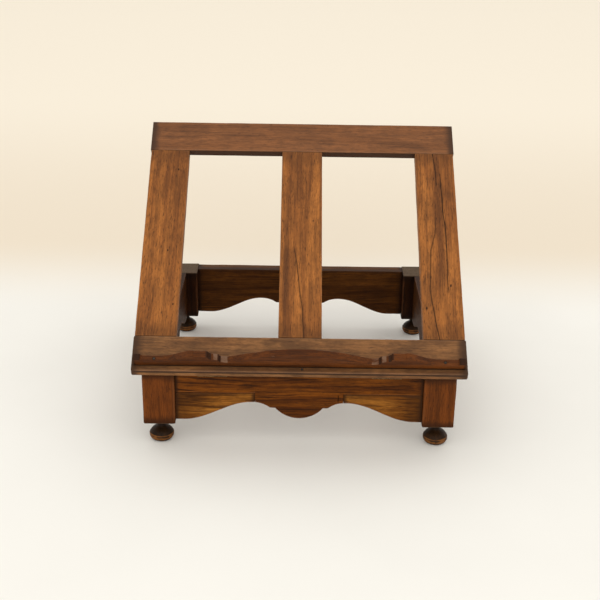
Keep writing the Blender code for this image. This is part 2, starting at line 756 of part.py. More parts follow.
def make_bracket(easel, brass, steel):
    """A plate under the centre stile with two ears, and the pin through them."""
    pivot_z = EASEL_CLEAR - STRUT_DROP
    top = EASEL_CLEAR - GAP
    inner = STRUT_WIDTH / 2 + 0.4 * MM
    outer = inner + 1.6 * MM
    plate = box_mesh(
        "strut_bracket",
        (-outer, STRUT_ALONG - BRACKET_FRONT, top - BRACKET_THICK),
        (outer, STRUT_ALONG + BRACKET_REAR, top),
    )
    bracket = add_piece("strut_bracket", plate, easel, brass)
    for _side, sign in SIDES:
        columns = sorted((sign * inner, sign * outer))
        add_box(
            bracket,
            (columns[0], STRUT_ALONG - STRUT_RADIUS, pivot_z),
            (columns[1], STRUT_ALONG + STRUT_RADIUS, top - 0.5 * MM),
        )
        ear = rod_mesh("ear", STRUT_RADIUS, *columns, steps=20)
        combine(bracket, ear, "UNION", (0, STRUT_ALONG, pivot_z))
    bore = rod_mesh("bore", STRUT_PIN_RADIUS + BORE_CLEAR, -outer - MM, outer + MM)
    combine(bracket, bore, "DIFFERENCE", (0, STRUT_ALONG, pivot_z))
    for number, place in enumerate(bracket_screws(), start=1):
        cut_screw_hole(bracket, place, math.pi)
        add_screw(f"bracket_screw_{number}", easel, steel, place, math.pi)
    pin = rod_mesh("strut_pin", STRUT_PIN_RADIUS, -outer - MM, outer + MM)
    add_piece("strut_pin", pin, easel, steel, (0, STRUT_ALONG, pivot_z))


def make_strut(pivot, wood):
    """The strut runs along its own +Y from the pivot to the middle of its round foot."""
    points = []
    for step in range(9):
        turn = math.pi * step / 8
        points.append((STRUT_LENGTH + STRUT_RADIUS * math.sin(turn), STRUT_RADIUS * math.cos(turn)))
    for step in range(9):
        turn = math.pi * step / 8
        points.append((-STRUT_RADIUS * math.sin(turn), -STRUT_RADIUS * math.cos(turn)))
    outline = [(-STRUT_WIDTH / 2, along, height) for along, height in points]
    mesh = prism_mesh("strut", outline, (STRUT_WIDTH, 0, 0), smooth_angle=30)
    strut = add_piece("strut", mesh, pivot, wood)
    half = STRUT_WIDTH / 2 + MM
    combine(strut, rod_mesh("bore", STRUT_PIN_RADIUS + BORE_CLEAR, -half, half), "DIFFERENCE")


def main():
    clear_scene()
    woods = {
        "stile": make_material("walnut_stile", (0.24, 0.095, 0.035), 0.45),
        "rail": make_material("walnut_rail", (0.16, 0.07, 0.032), 0.42),
        "post": make_material("walnut_post", (0.12, 0.042, 0.014), 0.45),
        "apron": make_material("walnut_apron", (0.13, 0.048, 0.014), 0.48),
        "repair": make_material("walnut_repair", (0.23, 0.1, 0.028), 0.5),
        "foot": make_material("ebonised_foot", (0.026, 0.015, 0.01), 0.4),
    }
    brass = make_material("aged_brass", (0.32, 0.22, 0.09), 0.4, 1.0)
    steel = make_material("dark_steel", (0.12, 0.11, 0.1), 0.45, 1.0)

    base = add_empty("base_frame", (0, -Y_MIDDLE, 0))
    easel = add_empty("easel_pivot", (0, HINGE_Y, HINGE_Z), base, TILT)
    strut_place = (0, STRUT_ALONG, EASEL_CLEAR - STRUT_DROP)
    strut_pivot = add_empty("strut_pivot", strut_place, easel, -TILT - STRUT_SLOPE)

    make_base(base, woods)
    make_rails(easel, woods["rail"])
    make_stiles(easel, woods["stile"])
    make_lip(easel, woods["rail"], steel)
    make_hinges(base, easel, brass, steel)
    make_bracket(easel, brass, steel)
    make_strut(strut_pivot, woods["apron"])


main()
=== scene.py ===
# The looks of an old walnut book stand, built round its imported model.
# Every board is lofted along its grain, so a board's own X axis always runs with the grain.

import json
import math

import bmesh
import bpy
import numpy as np
from mathutils import Matrix, Vector, noise
from mathutils.geometry import interpolate_bezier


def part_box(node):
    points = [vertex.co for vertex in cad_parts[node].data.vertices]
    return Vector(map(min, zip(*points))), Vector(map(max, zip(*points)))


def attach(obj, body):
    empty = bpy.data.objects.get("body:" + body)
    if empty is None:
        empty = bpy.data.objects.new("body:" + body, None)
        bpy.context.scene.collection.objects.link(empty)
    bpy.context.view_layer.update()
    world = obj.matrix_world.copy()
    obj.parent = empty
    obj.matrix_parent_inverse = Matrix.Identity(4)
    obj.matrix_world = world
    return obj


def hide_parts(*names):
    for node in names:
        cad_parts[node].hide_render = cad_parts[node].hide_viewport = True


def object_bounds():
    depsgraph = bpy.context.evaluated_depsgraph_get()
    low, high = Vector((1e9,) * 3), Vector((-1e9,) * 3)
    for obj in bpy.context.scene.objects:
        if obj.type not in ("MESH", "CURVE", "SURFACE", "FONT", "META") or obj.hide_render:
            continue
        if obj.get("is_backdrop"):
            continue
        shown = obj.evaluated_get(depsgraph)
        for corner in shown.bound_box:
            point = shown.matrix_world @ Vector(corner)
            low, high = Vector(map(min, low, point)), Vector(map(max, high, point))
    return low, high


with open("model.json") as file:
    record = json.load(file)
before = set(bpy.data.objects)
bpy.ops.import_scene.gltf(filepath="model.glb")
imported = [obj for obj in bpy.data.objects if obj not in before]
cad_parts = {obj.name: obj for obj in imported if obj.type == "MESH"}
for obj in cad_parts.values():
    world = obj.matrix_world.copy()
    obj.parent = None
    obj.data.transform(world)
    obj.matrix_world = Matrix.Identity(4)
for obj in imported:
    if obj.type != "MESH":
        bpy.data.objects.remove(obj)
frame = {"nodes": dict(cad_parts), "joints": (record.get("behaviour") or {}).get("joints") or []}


def boxNumbers():
    bpy.context.view_layer.update()
    low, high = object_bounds()
    return [[float(value) for value in low], [float(value) for value in high]]


cadBox = boxNumbers()
mm = 0.001
sideSigns = (("left", -1), ("right", 1))

# Frames of the moving parts at rest
jointByName = {joint["name"]: joint for joint in frame["joints"]}
tiltAngle = -math.radians(jointByName["easel_tilt"]["range_deg"][0])
easelPlace = Matrix.Translation(jointByName["easel_tilt"]["pos_m"]) @ Matrix.Rotation(tiltAngle, 4, "X")

# Turns that lay a board's own X axis along its grain
alongX = Matrix.Identity(4)
alongY = Matrix.Rotation(math.pi / 2, 4, "Z")
upright = Matrix.Rotation(-math.pi / 2, 4, "Y")


# Lowest and highest corner of a CAD node, in the frame of place
def nodeBox(node, place=alongX):
    toPlace = place.inverted()
    points = [toPlace @ vertex.co for vertex in frame["nodes"][node].data.vertices]
    return Vector(map(min, *points)), Vector(map(max, *points))


cameraLook = {
    "spot": (-0.00471, -1.49605, 0.77313),
    "turn": math.radians(0.17),  # to the right of straight ahead
    "dip": math.radians(23.17),
    "roll": math.radians(0.88),
    "lens": 68.72,
}


def makeCamera(look):
    turn, dip, roll = look["turn"], look["dip"], look["roll"]
    ahead = Vector((math.sin(turn) * math.cos(dip), math.cos(turn) * math.cos(dip), -math.sin(dip)))
    right = Vector((math.cos(turn), -math.sin(turn), 0))
    up = right.cross(ahead)
    across = math.cos(roll) * right + math.sin(roll) * up
    upward = math.cos(roll) * up - math.sin(roll) * right
    data = bpy.data.cameras.new("standCamera")
    data.sensor_width = 36
    data.lens = look["lens"]
    camera = bpy.data.objects.new("standCamera", data)
    bpy.context.scene.collection.objects.link(camera)
    facing = Matrix((across, upward, -ahead)).transposed().to_4x4()
    camera.matrix_world = Matrix.Translation(look["spot"]) @ facing
    bpy.context.scene.camera = camera


lightLook = {
    "sky": (1.0, 0.975, 0.93),
    "skyStrength": 1.0,
    "panels": (  # name, place, aim, size, power, tint
        ("overheadPanel", (0.5, 0.6, 4.2), (0.0, 0.3, 0.0), 4.6, 15.0, (1.0, 0.98, 0.95)),
        ("frontPanel", (-0.2, -2.9, 0.9), (0.0, 0.0, 0.0), 2.4, 16.0, (1.0, 0.97, 0.93)),
    ),
}


def makeLights(look):
    scene = bpy.context.scene
    world = bpy.data.worlds.new("studioSky")
    world.use_nodes = True
    sky = world.node_tree.nodes["Background"]
    sky.inputs["Color"].default_value = (*look["sky"], 1)
    sky.inputs["Strength"].default_value = look["skyStrength"]
    scene.world = world
    scene.view_settings.view_transform = "Standard"
    for name, place, aim, size, power, tint in look["panels"]:
        data = bpy.data.lights.new(name, "AREA")
        data.shape = "SQUARE"
        data.size = size
        data.energy = power
        data.color = tint
        panel = bpy.data.objects.new(name, data)
        scene.collection.objects.link(panel)
        panel.location = place
        panel.rotation_mode = "QUATERNION"
        panel.rotation_quaternion = (Vector(aim) - Vector(place)).to_track_quat("-Z", "Y")


# A shader node with its settings and sockets filled in; a socket given as a value is linked
def addNode(tree, kind, sockets=None, **settings):
    node = tree.nodes.new("ShaderNode" + kind)
    for setting, value in settings.items():
        setattr(node, setting, value)
    for socket, value in (sockets or {}).items():
        if isinstance(value, bpy.types.NodeSocket):
            tree.links.new(value, node.inputs[socket])
        else:
            node.inputs[socket].default_value = value
    return node


def mixColours(tree, share, first, second, blend="MIX"):
    node = addNode(tree, "Mix", {0: share, 6: first, 7: second}, data_type="RGBA", blend_type=blend)
    return node.outputs[2]


def sums(tree, operation, *values, clamp=False):
    node = addNode(tree, "Math", dict(enumerate(values)), operation=operation, use_clamp=clamp)
    return node.outputs[0]


# 0 below low and 1 above high, with a soft step between them
def rise(tree, value, low, high):
    sockets = {"Value": value, "From Min": low, "From Max": high}
    return addNode(tree, "MapRange", sockets, interpolation_type="SMOOTHSTEP").outputs[0]


def stretch(tree, vector, factors):
    return addNode(tree, "VectorMath", {0: vector, 1: factors}, operation="MULTIPLY").outputs[0]


def noiseOf(tree, vector, scale, detail=2.0, roughness=0.5, distortion=0.0):
    sockets = {
        "Vector": vector, "Scale": scale, "Detail": detail,
        "Roughness": roughness, "Distortion": distortion,
    }
    return addNode(tree, "TexNoise", sockets).outputs[0]


def attributeOf(tree, name):
    return addNode(tree, "Attribute", attribute_name=name).outputs["Fac"]


def grey(value):
    return (value, value, value, 1)


def newMaterial(name):
    material = bpy.data.materials.new(name)
    material.use_nodes = True
    tree = material.node_tree
    return material, tree, tree.nodes["Principled BSDF"]


def addBump(tree, shader, height, strength, distance):
    bump = addNode(tree, "Bump", {"Height": height, "Strength": strength, "Distance": distance})
    tree.links.new(bump.outputs["Normal"], shader.inputs["Normal"])


# Group that turns a board's own coordinates into old waxed walnut, grain along X
def makeWalnutGroup():
    tree = bpy.data.node_groups.new("waxedWalnut", "ShaderNodeTree")
    for label in ("Light", "Middle", "Dark", "Worn", "Ends"):
        tree.interface.new_socket(label, in_out="INPUT", socket_type="NodeSocketColor")
    tree.interface.new_socket("Shift", in_out="INPUT", socket_type="NodeSocketVector")
    for label in ("Streaks", "Clouds", "Pores", "Wear_and_sheen", "Grime_and_shade", "Marks", "Deepen", "Lighten", "Gloss"):
        tree.interface.new_socket(label, in_out="INPUT", socket_type="NodeSocketFloat")
    tree.interface.new_socket("Colour", in_out="OUTPUT", socket_type="NodeSocketColor")
    tree.interface.new_socket("Roughness", in_out="OUTPUT", socket_type="NodeSocketFloat")
    tree.interface.new_socket("Height", in_out="OUTPUT", socket_type="NodeSocketFloat")
    given = tree.nodes.new("NodeGroupInput").outputs
    own = addNode(tree, "TexCoord").outputs["Object"]
    place = addNode(tree, "VectorMath", {0: own, 1: given["Shift"]}, operation="ADD").outputs[0]

    # The grain wanders slowly from side to side
    slow = stretch(tree, place, (5, 14, 14))
    wander = addNode(tree, "TexNoise", {"Vector": slow, "Scale": 1.0, "Detail": 1.0}).outputs["Color"]
    centred = addNode(tree, "VectorMath", {0: wander, 1: (0.5, 0.5, 0.5)}, operation="SUBTRACT").outputs[0]
    bend = stretch(tree, centred, (0, 0.016, 0.016))
    grain = addNode(tree, "VectorMath", {0: place, 1: bend}, operation="ADD").outputs[0]

    broad = noiseOf(tree, stretch(tree, grain, (4.5, 84, 84)), 1.0, 4, 0.6, 0.4)
    lines = noiseOf(tree, stretch(tree, grain, (11, 470, 470)), 1.0, 3, 0.65, 0.15)
    fine = noiseOf(tree, stretch(tree, grain, (46, 1300, 1300)), 1.0, 3, 0.7)
    pores = noiseOf(tree, stretch(tree, grain, (120, 1500, 1500)), 1.0, 1, 0.5)
    cloud = noiseOf(tree, stretch(tree, place, (17, 34, 34)), 1.0, 3, 0.6, 0.4)
    blotch = noiseOf(tree, stretch(tree, place, (48, 95, 95)), 1.0, 3, 0.65, 0.5)
    speck = noiseOf(tree, place, 420.0, 2, 0.6)

    tone = sums(tree, "ADD", rise(tree, broad, 0.36, 0.64), given["Lighten"])
    tone = sums(tree, "SUBTRACT", tone, given["Deepen"], clamp=True)
    colour = mixColours(tree, tone, given["Middle"], given["Light"])
    deepened = sums(tree, "MULTIPLY", given["Deepen"], 0.7, clamp=True)
    colour = mixColours(tree, deepened, colour, given["Dark"])
    darkLines = rise(tree, sums(tree, "MULTIPLY_ADD", broad, -0.35, lines), 0.28, 0.5)
    darkLines = sums(tree, "MULTIPLY", darkLines, given["Streaks"], clamp=True)
    colour = mixColours(tree, darkLines, colour, given["Dark"])
    shade = sums(tree, "MULTIPLY_ADD", fine, 1.3, 0.35)
    colour = mixColours(tree, 1.0, colour, shade, "MULTIPLY")

    # Cloudy polish: darker patches over redder ones
    mottle = sums(tree, "MULTIPLY_ADD", blotch, 0.55, sums(tree, "MULTIPLY", cloud, 0.5))
    patch = rise(tree, mottle, 0.4, 0.66)
    patch = sums(tree, "MULTIPLY", patch, given["Clouds"], clamp=True)
    colour = mixColours(tree, patch, colour, given["Dark"])

    poreSpots = rise(tree, pores, 0.6, 0.7)
    poreShare = sums(tree, "MULTIPLY", poreSpots, given["Pores"], clamp=True)
    colour = mixColours(tree, poreShare, colour, mixColours(tree, 0.55, given["Dark"], grey(0.004)))

    # Arrises rubbed pale, a mix that also paints a sheen on some of the lip's top and a highlight on the
    # feet's rim; then darkening: old wax and dirt, and painted shade under overhangs, at the feet of parts
    # and in the moulding's quirk
    arris = attributeOf(tree, "wear_and_sheen")
    rubbedAndSheen = sums(tree, "MULTIPLY_ADD", blotch, 0.9, sums(tree, "MULTIPLY", arris, 0.55))
    rubbedAndSheen = rise(tree, rubbedAndSheen, 0.72, 1.0)
    rubbedAndSheen = sums(tree, "MULTIPLY", rubbedAndSheen, given["Wear_and_sheen"], clamp=True)
    colour = mixColours(tree, rubbedAndSheen, colour, given["Worn"])
    dirtAndShade = attributeOf(tree, "grime_and_shade")
    gathered = rise(tree, sums(tree, "MULTIPLY_ADD", dirtAndShade, 0.42, cloud), 0.42, 0.75)
    dirtAndShade = sums(tree, "MULTIPLY", dirtAndShade, gathered)
    dirtAndShade = sums(tree, "MULTIPLY", dirtAndShade, given["Grime_and_shade"], clamp=True)
    grimeShadeColour = mixColours(tree, 0.35, given["Dark"], (0.012, 0.006, 0.003, 1))
    colour = mixColours(tree, dirtAndShade, colour, grimeShadeColour)

    ends = attributeOf(tree, "endGrain")
    endSpots = sums(tree, "MULTIPLY_ADD", rise(tree, speck, 0.35, 0.65), 0.35, 0.6)
    colour = mixColours(tree, sums(tree, "MULTIPLY", ends, endSpots), colour, given["Ends"])
    # Cracks and knots go near-black, as does the painted shadow line along the lip's foot
    marks = sums(tree, "MAXIMUM", attributeOf(tree, "crackAndShadeLine"), given["Marks"])
    colour = mixColours(tree, rise(tree, marks, 0.0, 1.0), colour, (0.008, 0.004, 0.002, 1))

    rough = sums(tree, "MULTIPLY_ADD", lines, 0.16, given["Gloss"])
    rough = sums(tree, "MULTIPLY_ADD", patch, 0.06, rough)
    rough = sums(tree, "MULTIPLY_ADD", ends, 0.15, rough)
    height = sums(tree, "MULTIPLY_ADD", lines, 0.5, sums(tree, "MULTIPLY", fine, 0.3))
    height = sums(tree, "MULTIPLY_ADD", poreSpots, -0.6, height)
    height = sums(tree, "MULTIPLY_ADD", blotch, 0.5, height)
    leaving = tree.nodes.new("NodeGroupOutput")
    for label, value in (("Colour", colour), ("Roughness", rough), ("Height", height)):
        tree.links.new(value, leaving.inputs[label])
    return tree


walnutGroup = makeWalnutGroup()


# The walnut of one piece: finish gives its colours and strengths, shift moves it to its own patch of grain
def makeWalnut(name, finish, shift, knots=(), patches=()):
    material, tree, shader = newMaterial(name)
    group = addNode(tree, "Group")
    group.node_tree = walnutGroup
    for label in ("Light", "Middle", "Dark", "Worn", "Ends"):
        group.inputs[label].default_value = (*finish.get(label.lower(), finish["dark"]), 1)
    for label in ("Streaks", "Clouds", "Pores", "Wear_and_sheen", "Grime_and_shade", "Gloss"):
        group.inputs[label].default_value = finish[label.lower()]
    group.inputs["Shift"].default_value = shift
    if knots:
        tree.links.new(knotMarks(tree, knots), group.inputs["Marks"])
    for label, sign in (("Deepen", 1), ("Lighten", -1)):
        chosen = [patch for patch in patches if patch[4] * sign > 0]
        if chosen:
            tree.links.new(patchShare(tree, chosen), group.inputs[label])
    tree.links.new(group.outputs["Colour"], shader.inputs["Base Color"])
    tree.links.new(group.outputs["Roughness"], shader.inputs["Roughness"])
    shader.inputs["Specular IOR Level"].default_value = finish.get("shine", 0.16)
    addBump(tree, shader, group.outputs["Height"], 0.35, 0.4 * mm)
    return material


# How far a place is from a centre, once both are scaled
def farFrom(tree, place, centre, factors):
    offset = addNode(tree, "VectorMath", {0: place, 1: centre}, operation="SUBTRACT").outputs[0]
    scaled = stretch(tree, offset, factors)
    return addNode(tree, "VectorMath", {0: scaled}, operation="LENGTH").outputs["Value"]


# Dark spots at (along, across, height, radius) in a board's own frame
def knotMarks(tree, knots):
    own = addNode(tree, "TexCoord").outputs["Object"]
    shake = noiseOf(tree, own, 700.0, 2, 0.6)
    marks = 0.0
    for along, across, height, radius in knots:
        far = farFrom(tree, own, (along, across, height), (0.6, 1, 1))
        far = sums(tree, "MULTIPLY_ADD", shake, radius, far)
        spot = sums(tree, "SUBTRACT", 0.9, rise(tree, far, radius * 0.6, radius * 2.1), clamp=True)
        marks = sums(tree, "MAXIMUM", marks, spot)
    return marks


# Soft patches of (along, across, half length, half width, strength) in a board's own frame
def patchShare(tree, patches):
    own = addNode(tree, "TexCoord").outputs["Object"]
    ragged = noiseOf(tree, stretch(tree, own, (22, 190, 190)), 1.0, 3, 0.6, 0.3)
    share = 0.0
    for along, across, halfLength, halfWidth, strength in patches:
        far = farFrom(tree, own, (along, across, 0), (1 / halfLength, 1 / halfWidth, 0))
        far = sums(tree, "MULTIPLY_ADD", ragged, 1.1, far)
        soft = sums(tree, "SUBTRACT", 1.0, rise(tree, far, 0.7, 1.6))
        share = sums(tree, "MULTIPLY_ADD", soft, abs(strength), share)
    return share


# Points round a board's end view between two corners, with the wear at each.
# Each groove is (across, width, depth) in the upper face, in falling order of across.
def roundedRing(low, high, arris, grooves=()):
    ring = []
    flats = (high[1] - low[1] - 2 * arris, high[0] - low[0] - 2 * arris)
    corners = ((high[0], high[1]), (low[0], high[1]), (low[0], low[1]), (high[0], low[1]))
    for quarter, (cornerY, cornerZ) in enumerate(corners):
        first = quarter * math.pi / 2
        last = first + math.pi / 2
        centreY = cornerY - math.copysign(arris, math.cos(first + 0.1))
        centreZ = cornerZ - math.copysign(arris, math.sin(first + 0.1))
        before = flats[quarter % 2]
        after = flats[(quarter + 1) % 2]
        startY, startZ = centreY + arris * math.cos(first), centreZ + arris * math.sin(first)
        for band, worn in ((min(4 * mm, before * 0.35), 0.0), (min(1.2 * mm, before * 0.15), 0.5)):
            ring.append(((startY + band * math.sin(first), startZ - band * math.cos(first)), worn, 0.0))
        for step in range(5):
            turn = first + math.pi / 8 * step
            ring.append(((centreY + arris * math.cos(turn), centreZ + arris * math.sin(turn)), 1.0, 0.0))
        endY, endZ = ring[-1][0]
        for band, worn in ((min(1.2 * mm, after * 0.15), 0.5), (min(4 * mm, after * 0.35), 0.0)):
            ring.append(((endY - band * math.sin(last), endZ + band * math.cos(last)), worn, 0.0))
        for across, width, depth in grooves if quarter == 0 else ():
            shown = min(1.0, depth / (0.3 * mm))
            half, beside = width / 2, 2.4 * mm
            edges = ((beside, 0, 0), (half, 0, 0.35), (0, depth, 1), (-half, 0, 0.35), (-beside, 0, 0))
            for offset, drop, dark in edges:
                ring.append(((across + offset, high[1] - drop), 0.0, dark * shown))
    return [list(column) for column in zip(*ring)]


# Skins a board through the rings that ringAt(x) gives, with its ends rounded by arris.
# Boards darken within the given reach of their ends, and wherever the given function says: painted shade
# under overhangs and at the feet of parts, with some dirt.
def loftBoard(name, stations, ringAt, arris, endDarkReach=30 * mm, shadeAndSoil=None):
    start, end = stations[0], stations[-1]
    near = [arris + 1.2 * mm, arris + 4 * mm]
    inner = [x for x in stations if start + arris + 5 * mm < x < end - arris - 5 * mm]
    rows = [(start, arris + 1.5 * mm, 0.3, 1.0)]
    for step in range(5):
        turn = math.pi / 2 * step / 4
        further, inset = arris * (1 - math.cos(turn)), arris * (1 - math.sin(turn))
        rows.append((start + further, inset, 1.0, 1.0 - step / 4))
    rows += [(start + near[0], 0.0, 0.5, 0.0), (start + near[1], 0.0, 0.0, 0.0)]
    closing = [(start + end - x, inset, worn, cut) for x, inset, worn, cut in reversed(rows)]
    rows += [(x, 0.0, 0.0, 0.0) for x in inner] + closing
    verts, values = [], {"wear_and_sheen": [], "crackAndShadeLine": [], "endGrain": [], "grime_and_shade": []}
    for x, inset, worn, cut in rows:
        points, wear_and_sheen, crackAndShadeLine = ringAt(min(max(x, start + 0.2 * arris), end - 0.2 * arris))
        flat = np.array(points)
        middle = (flat.min(0) + flat.max(0)) / 2
        half = (flat.max(0) - flat.min(0)) / 2
        flat = middle + (flat - middle) * (1 - inset / half)
        fromEnd = min(x - start, end - x)
        grime_and_shade = min(1.0, max(0.0, 1.4 - 1.4 * fromEnd / endDarkReach))
        for (across, height), pointWear, pointCrackAndShade in zip(flat, wear_and_sheen, crackAndShadeLine):
            verts.append((x, across, height))
            values["wear_and_sheen"].append(max(pointWear, worn))
            values["crackAndShadeLine"].append(pointCrackAndShade)
            values["endGrain"].append(cut)
            values["grime_and_shade"].append(max(grime_and_shade, shadeAndSoil(x, across, height)) if shadeAndSoil else grime_and_shade)
    count = len(points)
    faces = [tuple(range(count)), tuple(range(len(verts) - count, len(verts)))]
    for row in range(len(rows) - 1):
        for spot in range(count):
            after = (spot + 1) % count
            a, b = row * count, (row + 1) * count
            faces.append((a + spot, a + after, b + after, b + spot))
    return skinMesh(name, verts, faces, values)


def skinMesh(name, verts, faces, values):
    mesh = bpy.data.meshes.new(name)
    mesh.from_pydata(verts, [], faces)
    for label, numbers in values.items():
        mesh.attributes.new(label, "FLOAT", "POINT").data.foreach_set("value", numbers)
    bm = bmesh.new()
    bm.from_mesh(mesh)
    bmesh.ops.recalc_face_normals(bm, faces=bm.faces)
    bm.to_mesh(mesh)
    bm.free()
    mesh.shade_smooth()
    return mesh


# Rubs the arrises down unevenly, always inwards, so that nothing looks freshly planed
def rubDown(mesh, amount, shift):
    wear_and_sheen = np.empty(len(mesh.vertices))
    mesh.attributes["wear_and_sheen"].data.foreach_get("value", wear_and_sheen)
    moved = []
    for vertex, worn in zip(mesh.vertices, wear_and_sheen):
        place = Vector((vertex.co.x * 42, vertex.co.y * 60, vertex.co.z * 60)) + Vector(shift) * 10
        dent = max(0.0, noise.noise(place) + 0.35)
        nick = max(0.0, noise.noise(place * 5.3) - 0.15) * 0.8
        moved.append(vertex.co - vertex.normal * worn * amount * (dent + nick))
    for vertex, spot in zip(mesh.vertices, moved):
        vertex.co = spot
    mesh.update()


# Puts a mesh in the scene as a piece that stands for CAD nodes and rides on their body
def addPiece(name, mesh, material, place, body, nodes):
    piece = bpy.data.objects.new(name, mesh)
    bpy.context.scene.collection.objects.link(piece)
    piece.matrix_world = place
    mesh.materials.append(material)
    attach(piece, body)
    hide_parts(*nodes)
    return piece


def boxCutter(low, high):
    bm = bmesh.new()
    size = Matrix.Diagonal((*(Vector(high) - Vector(low)), 1))
    bmesh.ops.create_cube(bm, size=1.0, matrix=Matrix.Translation((Vector(low) + Vector(high)) / 2) @ size)
    return cutterObject(bm)


# A round cutter, wide at its start and tapering to its end
def roundCutter(start, end, startRadius, endRadius, steps=20):
    bm = bmesh.new()
    axis = Vector(end) - Vector(start)
    turn = axis.to_track_quat("Z", "Y").to_matrix().to_4x4()
    place = Matrix.Translation((Vector(start) + Vector(end)) / 2) @ turn
    bmesh.ops.create_cone(
        bm, cap_ends=True, segments=steps, radius1=startRadius, radius2=endRadius,
        depth=axis.length, matrix=place,
    )
    return cutterObject(bm)


# The dimple that a nail's head sits in, from above the face down into it
def nailDimple(node, above, below, aboveRadius, belowRadius):
    low, high = nodeBox(node, easelPlace)
    spot = (low + high) / 2
    return roundCutter((spot.x, spot.y, above), (spot.x, spot.y, below), aboveRadius, belowRadius)


def cutterObject(bm):
    mesh = bpy.data.meshes.new("cutter")
    bm.to_mesh(mesh)
    bm.free()
    cutter = bpy.data.objects.new("cutter", mesh)
    bpy.context.scene.collection.objects.link(cutter)
    return cutter


# Cuts shapes given in the frame of place out of a piece; untangle is for cutters that cross one another
def carve(piece, cutters, place, untangle=False):
    for cutter in cutters:
        cutter.matrix_world = place
        cut = piece.modifiers.new("cut", "BOOLEAN")
        cut.operation = "DIFFERENCE"
        cut.solver = "EXACT"
        cut.use_self = untangle
        cut.object = cutter
    bpy.context.view_layer.update()
    graph = bpy.context.evaluated_depsgraph_get()
    carved = bpy.data.meshes.new_from_object(piece.evaluated_get(graph))
    piece.modifiers.clear()
    piece.data = carved
    for cutter in cutters:
        bpy.data.objects.remove(cutter, do_unlink=True)


# Keeps broad faces flat in shading beside their rounded arrises
def settleShading(piece):
    settle = piece.modifiers.new("flatFaces", "WEIGHTED_NORMAL")
    settle.mode = "FACE_AREA"
    settle.weight = 60
    settle.keep_sharp = True


def spread(low, high, pitch, also=()):
    count = max(2, round((high - low) / pitch))
    spots = {low + (high - low) * step / count for step in range(count + 1)}
    spots |= {spot for spot in also if low < spot < high}
    kept = []
    for spot in sorted(spots):
        if not kept or spot - kept[-1] > 0.05 * mm:
            kept.append(spot)
    return kept


postLook = {
    "arris": 1.9 * mm, "rub": 0.4 * mm, "light": (0.165, 0.043, 0.006), "middle": (0.13, 0.034, 0.0045),
    # The greyish pale end colour is end grain and also a painted sheen on the post tops
    "dark": (0.035, 0.01, 0.002), "worn": (0.2, 0.075, 0.025), "ends": (0.12, 0.08, 0.048), "streaks": 0.4,
    "clouds": 0.4, "pores": 0.6, "wear_and_sheen": 0.3, "grime_and_shade": 0.8, "gloss": 0.42, "shine": 0.08,
}
# A shaded copy of the post wood: the rear posts are painted dark for the shade they stand in under the
# easel
shadedRearPostLook = {
    **postLook, "light": (0.04, 0.011, 0.001), "middle": (0.02, 0.005, 0.0007),
    "dark": (0.008, 0.002, 0.0004), "arris": 1.3 * mm,
}


def makePosts(frontLook, shadedRearLook):
    for end, look in (("front", frontLook), ("rear", shadedRearLook)):
        for side, sign in sideSigns:
            node = f"post_{end}_{side}"
            low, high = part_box(node)
            middle, half = (low + high) / 2, (high - low) / 2

            def ringAt(x):
                return roundedRing((-half.x, -half.y), (half.x, half.y), look["arris"])

            mesh = loftBoard(node, spread(-half.z, half.z, 5 * mm), ringAt, look["arris"], 14 * mm)
            shift = (sign * 0.7 + 2, low.y * 5, 1.3)
            rubDown(mesh, look["rub"], shift)
            wood = makeWalnut(f"{node}Walnut", look, shift)
            place = Matrix.Translation(middle) @ upright
            post = addPiece(f"{node}_wood", mesh, wood, place, "base", [node])
            settleShading(post)


footLook = {
    "profile": (  # radius and height over the floor, in millimetres, from the post down
        (8.8, 30.2), (8.2, 28.6), (6.2, 26.6), (5.2, 24.4), (5.2, 21.6), (6.0, 19.2), (8.2, 17.2),
        (11.4, 15.2), (13.9, 12.8), (15.5, 10.4), (16.4, 8.6), (15.8, 8.0), (16.3, 6.9), (16.2, 5.4),
        (15.6, 3.6), (14.6, 1.9), (13.2, 0.5), (12.2, 0.0),
    ),
    "light": (0.038, 0.016, 0.005), "middle": (0.02, 0.009, 0.003), "dark": (0.007, 0.003, 0.001),
    "worn": (0.17, 0.064, 0.015), "streaks": 0.5, "clouds": 0.4, "pores": 0.3, "wear_and_sheen": 1.0,
    "grime_and_shade": 0.8, "gloss": 0.36, "shine": 0.1,
}


# A soft line through points, with steps points in each span
def smoothLine(points, steps):
    line = []
    ends = [points[0], *points, points[-1]]
    for before, start, end, after in zip(ends, ends[1:], ends[2:], ends[3:]):
        before, start, end, after = (Vector((*point, 0)) for point in (before, start, end, after))
        handle, otherHandle = start + (end - before) / 6, end - (after - start) / 6
        curve = interpolate_bezier(start, handle, otherHandle, end, steps + 1)
        line += [(point.x, point.y) for point in curve[:-1]]
    return line + [tuple(points[-1])]


